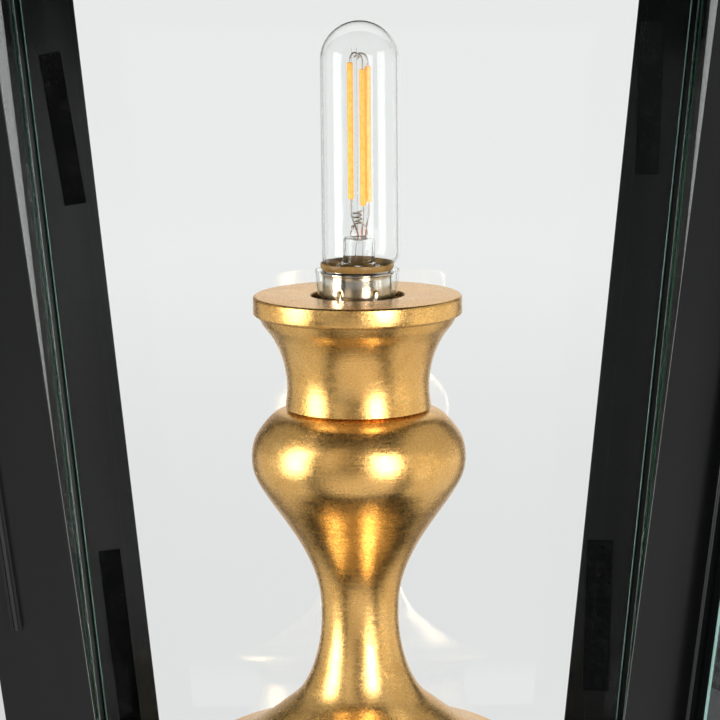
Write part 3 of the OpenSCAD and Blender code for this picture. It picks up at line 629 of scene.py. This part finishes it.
# hair cracks in the gesso
warp = add(tree, "ShaderNodeVectorMath", operation="MULTIPLY_ADD")
swirl = add(tree, "ShaderNodeTexNoise", Scale=300.0, Detail=3.0)
join(tree, where, swirl.inputs["Vector"])
join(tree, swirl.outputs["Color"], warp.inputs[0])
warp.inputs[1].default_value = (0.004, 0.004, 0.004)
join(tree, where, warp.inputs[2])
crazing = add(tree, "ShaderNodeTexVoronoi", feature="DISTANCE_TO_EDGE", Scale=430.0)
join(tree, warp.outputs[0], crazing.inputs["Vector"])
cracks = span(tree, crazing.outputs["Distance"], 0.0, 0.07, 1, 0)
few = span(tree, grained_noise(tree, where, 75.0, 4.0), 0.56, 0.66)
crack_mask = worked(tree, "MULTIPLY", cracks, few)
# painted shade: the leaf is darkened towards the bole colour in the seams between the pieces, in the crease
# under the disc and down the hole, where shade falls
height = apart(tree, where)["Z"]
flat = add(tree, "ShaderNodeVectorMath", operation="MULTIPLY")
join(tree, where, flat.inputs[0])
flat.inputs[1].default_value = (1, 1, 0)
from_axis = add(tree, "ShaderNodeVectorMath", operation="LENGTH")
join(tree, flat.outputs[0], from_axis.inputs[0])
seam_and_hole_shade = worked(tree, "MULTIPLY", span(tree, from_axis.outputs["Value"], 17.8 * MM, 18.7 * MM, 0.85, 0),
                    span(tree, height, DISC_Z - 41 * MM, DISC_Z - 40 * MM))
# height above the disc and half width in mm, and strength
SHADED_SEAMS = ((-44.0, 0.5, 0.6), (-7.6, 0.6, 0.55), (-180.0, 0.8, 0.7))
for seam, half, strength in SHADED_SEAMS:
    away = worked(tree, "ABSOLUTE", worked(tree, "SUBTRACT", height, DISC_Z + seam * MM))
    seam_and_hole_shade = worked(tree, "MAXIMUM", seam_and_hole_shade,
                        span(tree, away, 0.3 * half * MM, half * MM, strength, 0))
tone = sum_of(tree, span(tree, tones, 0, 1, -0.1, 0.75), strokes, 0.45)
whole_leaf = blended(tree, tone, DEEP_GOLD, PALE_GOLD)
pits = span(tree, crumple, 0.60, 0.72, 0, 0.24)
# pits and cracks are worn leaf; the lines in the seams and the hole are painted shade
wear_and_shade = sum_of(tree, sum_of(tree, pits, crack_mask, 0.35), seam_and_hole_shade, 1.0)
worn_and_shaded_leaf = blended(tree, wear_and_shade, whole_leaf, BOLE_AND_SHADE)
# painted reflection: where leaf is seen mirrored in other leaf it is given a paler colour, so it looks paler
# than two mirrors of plain gold would
painted_reflection_tone = add(tree, "ShaderNodeGamma", Gamma=0.55)
join(tree, worn_and_shaded_leaf, painted_reflection_tone.inputs["Color"])
seen_in_reflection = seen_share(tree, "Is Glossy Ray")
join(tree, blended(tree, seen_in_reflection, worn_and_shaded_leaf, painted_reflection_tone.outputs[0]), leaf.inputs["Base Color"])
join(tree, span(tree, sum_of(tree, crumple, strokes, 0.6), 0.5, 1.1, 0.20, 0.34), leaf.inputs["Roughness"])
relief = sum_of(tree, sum_of(tree, span(tree, strokes, 0, 1, 0, 0.42), crumpled, 0.55), crack_mask, -0.22)
embossed(tree, leaf, relief, 0.35, 0.5 * MM)

DISC_R = 40.2
DISC_T = 7.3
HOLE_R = 17.85
HOLE_DEPTH = 40
PIPE_R = 5.05
SEAM_Z = -44
SPLIT_Z = -180
BASE_Z = (FOOT_Z - DISC_Z) / MM
neck_line = curve([(36.6, -11), (32.9, -16), (29.9, -22), (28, -29), (27.4, -36), (28.1, -43.6)], 10)
neck = turned("pedestal_neck_shown", [
    (PIPE_R, SEAM_Z), (PIPE_R, -HOLE_DEPTH), (HOLE_R, -HOLE_DEPTH),
    *arc(HOLE_R + 0.7, -0.7, 0.7, 180, 90), *arc(DISC_R - 1.2, -1.2, 1.2, 90, 0),
    *arc(DISC_R - 0.7, -DISC_T + 0.7, 0.7, 0, -90), (DISC_R - 1.6, -DISC_T), *neck_line, (27.6, SEAM_Z)])
dress(neck, gilding, "pedestal_neck")
body_line = curve([
    (26.8, -44.3), (32, -46), (36.3, -50), (40.2, -56), (41.4, -63), (40.2, -70), (35.7, -78), (29.4, -87),
    (22.9, -97), (18.1, -107), (15.6, -116), (15, -125), (15.5, -134), (17.4, -143), (20.5, -151),
    (24.5, -157), (30.6, -162), (37.1, -167), (43.4, -171), (49.8, -174), (56, -175.6), (58.2, -177),
    (58.6, -179), (57.6, SPLIT_Z)], 8)
dress(turned("pedestal_body_shown", [(PIPE_R, SPLIT_Z), (PIPE_R, SEAM_Z), (26, SEAM_Z), *body_line]),
      gilding, "pedestal_body")
foot_line = curve([(55.5, SPLIT_Z), (50, -184), (47.5, -190), (48.5, -197), (53, -204), (60, -210),
                   (66, -214), (69.5, -218.5), (70.5, -223)], 8)
dress(turned("pedestal_foot_shown", [(PIPE_R, BASE_Z), (PIPE_R, SPLIT_Z), *foot_line,
                                     *arc(69.5, BASE_Z + 1, 1, 0, -90)]), gilding, "pedestal_foot")

# ---------- socket ----------
# A dark moulded insulator in a clear sleeve sits in the disc's hole on the end of the lamp pipe. The
# bulb screws into the thin shell inside it.
MARKS_FINER = 7


def metal(name, colour, rough, stain, stain_scale=160.0, bump=0.05, drawn_way=(1, 1, 1)):
    """Bare or plated metal with faint stains and handling marks."""
    plate, nodes, skin = new_finish(name)
    skin.inputs["Metallic"].default_value = 1.0
    where = stretched(nodes, on_object(nodes), drawn_way)
    cloud = grained_noise(nodes, where, stain_scale, 5.0, 0.6)
    join(nodes, blended(nodes, span(nodes, cloud, 0.42, 0.72), colour, stain), skin.inputs["Base Color"])
    join(nodes, span(nodes, cloud, 0.3, 0.7, rough, rough + 0.12), skin.inputs["Roughness"])
    embossed(nodes, skin, grained_noise(nodes, where, stain_scale * MARKS_FINER, 3.0), bump, 0.3 * MM)
    return plate


brass = metal("brass", (0.74, 0.55, 0.28), 0.26, (0.52, 0.35, 0.15))
zinc = metal("zinc", (0.66, 0.65, 0.62), 0.34, (0.46, 0.45, 0.42))
insulator = coated("moulded_black", (0.012, 0.012, 0.013), (0.022, 0.022, 0.023), 0.30, 0.5, 600.0, 0.03)
for node, ease, finish in (("socket_base", 0.4, insulator), ("socket_shell", 0.08, brass),
                           ("socket_contact", 0.15, brass), ("lamp_pipe", 0.2, brass),
                           ("pipe_washer", 0.2, zinc), ("pipe_nut", 0.4, zinc),
                           ("cover_standoffs", 0.3, zinc)):
    dress(eased(node, ease * MM), finish, node)
clear_plastic = clear_glass("clear_sleeve", (0.992, 0.995, 0.992), 1.30, 0.02, (1, 1, 1), 0)
SLEEVE_WALL = 0.45
SLEEVE_TOP = 9.6
sleeve_line = [(15.7, -HOLE_DEPTH), (15.7, -13), (15.3, -9), (15.2, -4), (15.35, 0), (16.15, SLEEVE_TOP)]
sleeve_bore = [(r - SLEEVE_WALL, z) for r, z in reversed(sleeve_line)]
dress(turned("socket_sleeve_shown", sleeve_bore + sleeve_line, 96), clear_plastic, "socket_sleeve")

# ---------- bulb ----------
# A tubular LED bulb: a blown glass tube fused to a stem that holds a glass rod, the phosphor-coated
# filaments welded to its leads, and a nickelled screw cap that is cemented and crimped on its foot.
bulb_clear = clear_glass("bulb_clear", (0.995, 0.998, 0.996), 1.30, 0.0, (1, 1, 1), 0)
bulb_clear.node_tree.nodes["Principled BSDF"].inputs["Specular IOR Level"].default_value = 0.25
BULB_R = 15
BULB_TOP = 105
BULB_WALL = 0.6
NECK_R = 12.6
glass_outer = [(NECK_R, 8), (NECK_R, 10.6),
               *curve([(12.75, 11.2), (14.2, 12.9), (14.9, 15.6), (BULB_R, 18)], 5),
               *arc(0, BULB_TOP - BULB_R, BULB_R, 0, 90, 24)]
glass_inner = [*arc(0, BULB_TOP - BULB_R, BULB_R - BULB_WALL, 90, 0, 24),
               *curve([(BULB_R - BULB_WALL, 18), (14.3, 15.7), (13.6, 13.2), (NECK_R - BULB_WALL, 11.4)], 5),
               (NECK_R - BULB_WALL, 8)]
OFF_CENTRE = 1.5
SHIFT_FROM, SHIFT_TO = 8, 16


def off_centre(piece, share=1.0):
    """The glass was fused a little to one side of its cap."""
    for v in piece.data.vertices:
        part = min(max(((v.co.z - DISC_Z) / MM - SHIFT_FROM) / (SHIFT_TO - SHIFT_FROM), 0), 1)
        v.co.x += share * OFF_CENTRE * MM * part * part * (3 - 2 * part)
    return piece


dress(off_centre(turned("bulb_glass_shown", glass_outer + glass_inner, 128)), bulb_clear, "bulb_glass")

STEM_R = 6.1
STEM_TOP = 22.9
ROD = (-1.3, 0.0)
ROD_LOW, ROD_TOP = 25, 94.5
EXHAUST_X, EXHAUST_Z, EXHAUST_H = 0.3, 15.1, 10.6
PINCH_Z = 24.4
PINCH = (3.3, 1.5, 3.4)
stem = turned("bulb_stem_shown", [
    *curve([(STEM_R - 1, 12), (7.4, 9.6), (11.2, 8.7)], 5), (11.7, 8.9), (11.7, 9.5),
    *curve([(9.4, 10.0), (STEM_R + 0.7, 12), (STEM_R, 14.5), (STEM_R, STEM_TOP - 2.1)], 5),
    *arc(STEM_R - 1.3, STEM_TOP - 1.8, 1.3, 0, 75, 4), (1.2, STEM_TOP), (0, STEM_TOP),
    (0, STEM_TOP - 0.8), (1.2, STEM_TOP - 0.8), *arc(STEM_R - 1.9, STEM_TOP - 2.2, 1.1, 75, 0, 4),
    (STEM_R - 0.9, STEM_TOP - 3.4)], 64)
blown = bmesh.new()
blown.from_mesh(stem.data)
# the rod up the middle and the stub of the tube through which the bulb was pumped out
for low_r, high_r, length, (x, y), middle in (
        (1.0, 1.0, ROD_TOP - ROD_LOW, ROD, (ROD_TOP + ROD_LOW) / 2),
        (1.7, 1.4, EXHAUST_H, (EXHAUST_X, 0), EXHAUST_Z)):
    bmesh.ops.create_cone(
        blown, cap_ends=True, segments=20, radius1=low_r * MM, radius2=high_r * MM, depth=length * MM,
        matrix=Matrix.Translation((x * MM, y * MM, DISC_Z + middle * MM)))
# the pinch, where hot glass was squeezed flat round the leads
pinch = bmesh.ops.create_uvsphere(blown, u_segments=24, v_segments=14, radius=1)
for v in pinch["verts"]:
    bulge = 1 + 0.10 * sin(9 * v.co.x + 5 * v.co.z)
    v.co = Vector((PINCH[0] * v.co.x * bulge * MM, PINCH[1] * v.co.y * bulge * MM,
                   DISC_Z + (PINCH_Z + PINCH[2] * v.co.z) * MM))
blown.to_mesh(stem.data)
blown.free()
stem.data.shade_smooth()
stem.data.set_sharp_from_angle(angle=TURNED_SHARP)
dress(off_centre(stem, 0.5), bulb_clear, "bulb_stem")

PHOSPHOR_DEEP = (0.96, 0.42, 0.050)
PHOSPHOR_PALE = (1.0, 0.56, 0.12)
phosphor, tree, skin = new_finish("phosphor")
skin.inputs["Roughness"].default_value = 0.35
grain = grained_noise(tree, on_object(tree), 700.0, 3.0)
powder = blended(tree, span(tree, grain, 0.3, 0.7), PHOSPHOR_DEEP, PHOSPHOR_PALE)
join(tree, powder, skin.inputs["Base Color"])
# painted glow: the filaments are made to shine faintly in their own colour
join(tree, powder, skin.inputs["Emission Color"])
skin.inputs["Emission Strength"].default_value = 0.35
embossed(tree, skin, grain, 0.15, 0.2 * MM)
dress(off_centre(eased("bulb_filaments", 0.3 * MM)), phosphor, "bulb_filaments")

# leads of bright wire, copper-clad where they pass through the pinch, with a slack turn at each end
lead_wire = metal("lead_wire", (0.66, 0.62, 0.56), 0.25, (0.40, 0.30, 0.24), 500.0)
tree = lead_wire.node_tree
finish = tree.nodes["Principled BSDF"].inputs["Base Color"]
bright = finish.links[0].from_socket
COPPER = (0.60, 0.26, 0.16)
COPPER_TO, BRIGHT_FROM = 25, 28
height = apart(tree, on_object(tree))["Z"]
clad = span(tree, height, DISC_Z + COPPER_TO * MM, DISC_Z + BRIGHT_FROM * MM, 1, 0)
join(tree, blended(tree, clad, bright, COPPER), finish)
LEAD_R = 0.33
# the turns of fine wire round the foot of the rod: radius, turn and rise of each step, and foot
COIL_R, COIL_TURN, COIL_RISE, COIL_Z = 1.5, 0.9, 0.22, 27.6
LEADS = [
    [(-1.0, 0.2, 21.8), (-1.3, 0.1, 24), (-2.4, -0.5, 27.5), (-3.5, -1.1, 30.5), (-3.7, -1.2, 33),
     (-3.7, -1.2, 37.3)],
    [(0.3, -0.5, 21.8), (0.4, -0.7, 25), (0.8, -1.3, 28.5), (1.0, -1.6, 31), (1.0, -1.6, 34.9)],
    [(1.5, 0.3, 21.8), (1.9, 0.6, 25), (2.7, 1.4, 28.5), (3.1, 1.8, 31), (3.1, 1.8, 35.9)],
    [(-3.7, -1.2, 88.7), (-3.7, -1.2, 90.2), (-2.8, -0.8, 92.2), (-1.6, -0.3, 92.6), (-0.3, 0.6, 91.2),
     (-1.0, 1.1, 90)],
    [(1.0, -1.6, 86.2), (1.0, -1.6, 89.3), (0.5, -1.3, 91.3), (-0.8, -0.6, 92.0), (-2.2, 0.6, 91)],
    [(3.1, 1.8, 87.2), (3.1, 1.8, 89.6), (2.2, 1.5, 91.6), (0.4, 0.9, 92.3), (-1.2, 0.8, 91.8)],
    [(ROD[0] + COIL_R * cos(COIL_TURN * k), ROD[1] + COIL_R * sin(COIL_TURN * k), COIL_Z + COIL_RISE * k)
     for k in range(22)]]
run = bpy.data.curves.new("bulb_wires_run", "CURVE")
run.dimensions = "3D"
run.bevel_depth = LEAD_R * MM
run.bevel_resolution = 2
run.use_fill_caps = True
for lead in LEADS:
    bends = curve(lead, 4)
    spline = run.splines.new("POLY")
    spline.points.add(len(bends) - 1)
    for point, bend in zip(spline.points, bends):
        point.co = (bend[0] * MM, bend[1] * MM, DISC_Z + bend[2] * MM, 1)
drawn = bpy.data.objects.new("bulb_wires_drawn", run)
link(drawn)
wires = bpy.data.objects.new("bulb_wires_shown", bpy.data.meshes.new_from_object(
    drawn.evaluated_get(bpy.context.evaluated_depsgraph_get())))
link(wires)
bpy.data.objects.remove(drawn)
wires.data.shade_smooth()
dress(off_centre(wires), lead_wire, "bulb_wires")

# the cap is drawn from thin nickelled brass: a rolled rim, six crimps, and a rolled thread
nickel = metal("nickel", (0.84, 0.78, 0.69), 0.08, (0.62, 0.55, 0.45), 120.0, 0.08, (1, 1, 0.12))
THREAD_LOW, THREAD_HIGH, PITCH = -17.5, -3.5, 3.63
THREAD_RINGS = 44
thread_step = (THREAD_HIGH - THREAD_LOW) / THREAD_RINGS
thread_line = [(13.0, THREAD_LOW + thread_step * k) for k in range(THREAD_RINGS + 1)]
cap_line = [(13.3, -20), (13.3, -18.2), *thread_line, (13.3, -2), (13.5, -1)]
cap_line += [(13.5, -0.6 + 0.4 * k) for k in range(20)]
cap_line += [*arc(13.5, 8.6, 0.6, -75, 75, 5), (13.4, 9.75), (12.85, 9.75)]
cap_inner = [(12.85, 0), (12.6, THREAD_HIGH), (12.2, THREAD_HIGH - 1), (12.2, THREAD_LOW + 1), (12.85, -18.4)]
cap = turned("bulb_cap_shown", [(12.85, -20), *cap_line, *cap_inner], 144)
THREAD_DEPTH = 0.30
CRIMPS = 6
CRIMP_DEPTH, CRIMP_HALF_WIDTH, CRIMP_HALF_HEIGHT, CRIMP_Z = 0.55, 0.9, 2.0, 0.9
OUTSIDE_R = 12.9
for v in cap.data.vertices:
    r, z = v.co.xy.length / MM, (v.co.z - DISC_Z) / MM
    turn_share = v.co.xy.angle_signed(Vector((1, 0))) / (2 * pi)
    if r > OUTSIDE_R and THREAD_LOW < z < THREAD_HIGH:
        fade = min(z - THREAD_LOW, THREAD_HIGH - z, 1.0)
        r += THREAD_DEPTH * fade * cos(2 * pi * (z / PITCH - turn_share))
    elif r > OUTSIDE_R and -1.2 < z < 3.4:
        across = ((turn_share * CRIMPS + 0.5) % 1 - 0.5) / CRIMPS * 2 * pi * r
        along = z - CRIMP_Z
        r -= (CRIMP_DEPTH * max(0, 1 - (across / CRIMP_HALF_WIDTH) ** 2)
              * max(0, 1 - (along / CRIMP_HALF_HEIGHT) ** 2) ** 0.5)
    v.co.xy = v.co.xy.normalized() * r * MM
dress(cap, nickel, "bulb_cap")
dress(eased("bulb_contact", 0.2 * MM), brass, "bulb_contact")
dress(eased("bulb_insulator", 0.2 * MM), insulator, "bulb_insulator")

# amber cement fills the cap under the glass, and stands as a bead between the cap's rim and the glass
cement = coated("cement", (0.22, 0.112, 0.026), (0.70, 0.46, 0.16), 0.34, 0.35, 500.0, 0.25)
bead = turned("bulb_cement", [
    (6.5, 7.2), (12.8, 7.2), (12.82, 9.78), (13.4, 9.78), (13.85, 10.3), (14.1, 11.1), (14.15, 12.0),
    (13.95, 12.4), (13.5, 11.9), (13.0, 11.3), (12.64, 10.7), (12.64, 7.9), (6.5, 7.9)], 96)
bead.data.materials.append(cement)
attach(bead, frame["nodes"]["bulb_cap"]["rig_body"])

# ---------- screws ----------
# Zinc-plated pan-head screws hold the cover and the hood, and small round-head ones the hinge leaves.
# They are driven from outside, with a cross recess, and each has stopped at its own turn.
SCREW_SHARP = radians(32)
SCREW_TURNS = 7
screw_tree = bpy.data.node_groups.new("pan_head_screws", "GeometryNodeTree")
screw_input = {}
screw_tree.interface.new_socket(name="Seats", in_out="INPUT", socket_type="NodeSocketGeometry")
for label in ("Head Radius", "Head Height", "Shank Radius", "Shank Length"):
    screw_input[label] = screw_tree.interface.new_socket(
        name=label, in_out="INPUT", socket_type="NodeSocketFloat").identifier
screw_input["Finish"] = screw_tree.interface.new_socket(
    name="Finish", in_out="INPUT", socket_type="NodeSocketMaterial").identifier
screw_tree.interface.new_socket(name="Screws", in_out="OUTPUT", socket_type="NodeSocketGeometry")
given = screw_tree.nodes.new("NodeGroupInput")


def times(value, share):
    return worked(screw_tree, "MULTIPLY", value, share)


def at_height(value):
    up = add(screw_tree, "ShaderNodeCombineXYZ")
    join(screw_tree, value, up.inputs["Z"])
    return up.outputs[0]


def placed(geometry, offset):
    moved = screw_tree.nodes.new("GeometryNodeTransform")
    join(screw_tree, geometry, moved.inputs["Geometry"])
    join(screw_tree, offset, moved.inputs["Translation"])
    return moved.outputs["Geometry"]


def rod_of(radius, depth, sides, rings):
    made = screw_tree.nodes.new("GeometryNodeMeshCylinder")
    made.inputs["Vertices"].default_value = sides
    made.inputs["Side Segments"].default_value = rings
    made.inputs["Fill Segments"].default_value = rings + 1
    join(screw_tree, radius, made.inputs["Radius"])
    join(screw_tree, depth, made.inputs["Depth"])
    return made.outputs["Mesh"]


DOME_POWER = 3
DOME_DROP = 0.45
SLOT_LENGTH, SLOT_WIDTH, SLOT_DEPTH = 1.15, 0.26, 1.1
head_r, head_h = given.outputs["Head Radius"], given.outputs["Head Height"]
head = placed(rod_of(head_r, head_h, 32, 3), at_height(times(head_h, 0.5)))
place = screw_tree.nodes.new("GeometryNodeInputPosition").outputs[0]
level = add(screw_tree, "ShaderNodeVectorMath", operation="MULTIPLY")
join(screw_tree, place, level.inputs[0])
level.inputs[1].default_value = (1, 1, 0)
out_by = add(screw_tree, "ShaderNodeVectorMath", operation="LENGTH")
join(screw_tree, level.outputs[0], out_by.inputs[0])
steep = worked(screw_tree, "POWER", worked(screw_tree, "DIVIDE", out_by.outputs["Value"], head_r), DOME_POWER)
domed = screw_tree.nodes.new("GeometryNodeSetPosition")
join(screw_tree, head, domed.inputs["Geometry"])
drop = times(apart(screw_tree, place)["Z"], -DOME_DROP)
join(screw_tree, at_height(times(steep, drop)), domed.inputs["Offset"])
cut = screw_tree.nodes.new("GeometryNodeMeshBoolean")
cut.operation = "DIFFERENCE"
join(screw_tree, domed.outputs[0], cut.inputs[0])
for long_side, short_side in ((0, 1), (1, 0)):
    arm = screw_tree.nodes.new("GeometryNodeMeshCube")
    arm_size = add(screw_tree, "ShaderNodeCombineXYZ")
    join(screw_tree, times(head_r, SLOT_LENGTH), arm_size.inputs[long_side])
    join(screw_tree, times(head_r, SLOT_WIDTH), arm_size.inputs[short_side])
    join(screw_tree, times(head_h, SLOT_DEPTH), arm_size.inputs[2])
    join(screw_tree, arm_size.outputs[0], arm.inputs["Size"])
    join(screw_tree, placed(arm.outputs["Mesh"], at_height(head_h)), cut.inputs[1])
shank_l = given.outputs["Shank Length"]
shank = placed(rod_of(given.outputs["Shank Radius"], shank_l, 20, 1), at_height(times(shank_l, -0.5)))
whole = screw_tree.nodes.new("GeometryNodeJoinGeometry")
join(screw_tree, cut.outputs["Mesh"], whole.inputs[0])
join(screw_tree, shank, whole.inputs[0])
outward = screw_tree.nodes.new("GeometryNodeInputNamedAttribute")
outward.data_type = "FLOAT_VECTOR"
outward.inputs["Name"].default_value = "outward"
facing = screw_tree.nodes.new("FunctionNodeAlignRotationToVector")
facing.axis = "Z"
join(screw_tree, outward.outputs["Attribute"], facing.inputs["Vector"])
on_seats = screw_tree.nodes.new("GeometryNodeInstanceOnPoints")
join(screw_tree, given.outputs["Seats"], on_seats.inputs["Points"])
join(screw_tree, whole.outputs[0], on_seats.inputs["Instance"])
join(screw_tree, facing.outputs[0], on_seats.inputs["Rotation"])
turned_by = screw_tree.nodes.new("FunctionNodeRandomValue")
turned_by.data_type = "FLOAT"
turned_by.inputs[3].default_value = 2 * pi
turned_by.inputs["Seed"].default_value = SCREW_TURNS
driven = screw_tree.nodes.new("GeometryNodeRotateInstances")
join(screw_tree, on_seats.outputs[0], driven.inputs["Instances"])
join(screw_tree, at_height(turned_by.outputs[1]), driven.inputs["Rotation"])
real = screw_tree.nodes.new("GeometryNodeRealizeInstances")
join(screw_tree, driven.outputs[0], real.inputs[0])
plated = screw_tree.nodes.new("GeometryNodeSetMaterial")
join(screw_tree, real.outputs[0], plated.inputs["Geometry"])
join(screw_tree, given.outputs["Finish"], plated.inputs["Material"])
join(screw_tree, plated.outputs[0], screw_tree.nodes.new("NodeGroupOutput").inputs[0])


def screw_seats(node):
    """The middle of each head's underside with its way out, and the sizes of head and shank."""
    shape = merged(node)
    seats, waiting = [], set(shape.verts)
    for first in shape.verts:
        if first not in waiting:
            continue
        waiting.remove(first)
        found = [first]
        for v in found:
            for edge in v.link_edges:
                near = edge.other_vert(v)
                if near in waiting:
                    waiting.remove(near)
                    found.append(near)
        top = max((f for v in found for f in v.link_faces), key=lambda f: f.calc_area())
        middle, out = top.calc_center_median(), top.normal.copy()
        depths = [(middle - v.co).dot(out) for v in found]
        radii = [(v.co - middle + d * out).length for v, d in zip(found, depths)]
        head_height = max(d for d, r in zip(depths, radii) if r > 0.9 * max(radii))
        shank_radius = max(r for d, r in zip(depths, radii) if d > 0.98 * max(depths))
        seats.append((middle - head_height * out, out))
        sizes = (max(radii), head_height, shank_radius, max(depths) - head_height)
    shape.free()
    return seats, sizes


for node in ("cover_screws", "roof_screws", "leaf_screws"):
    seats, sizes = screw_seats(node)
    points = bpy.data.meshes.new(node + "_shown")
    points.from_pydata([seat for seat, out in seats], [], [])
    points.attributes.new("outward", "FLOAT_VECTOR", "POINT").data.foreach_set(
        "vector", [c for seat, out in seats for c in out])
    screws = bpy.data.objects.new(node + "_shown", points)
    link(screws)
    maker = screws.modifiers.new("screws", "NODES")
    maker.node_group = screw_tree
    for label, value in zip(("Head Radius", "Head Height", "Shank Radius", "Shank Length"), sizes):
        maker[screw_input[label]] = value
    maker[screw_input["Finish"]] = zinc
    screws.data = bpy.data.meshes.new_from_object(screws.evaluated_get(bpy.context.evaluated_depsgraph_get()))
    screws.modifiers.clear()
    screws.data.shade_smooth()
    screws.data.set_sharp_from_angle(angle=SCREW_SHARP)
    dress(screws, zinc, node)
dress(eased("hinge_pins", 0.3 * MM), zinc, "hinge_pins")
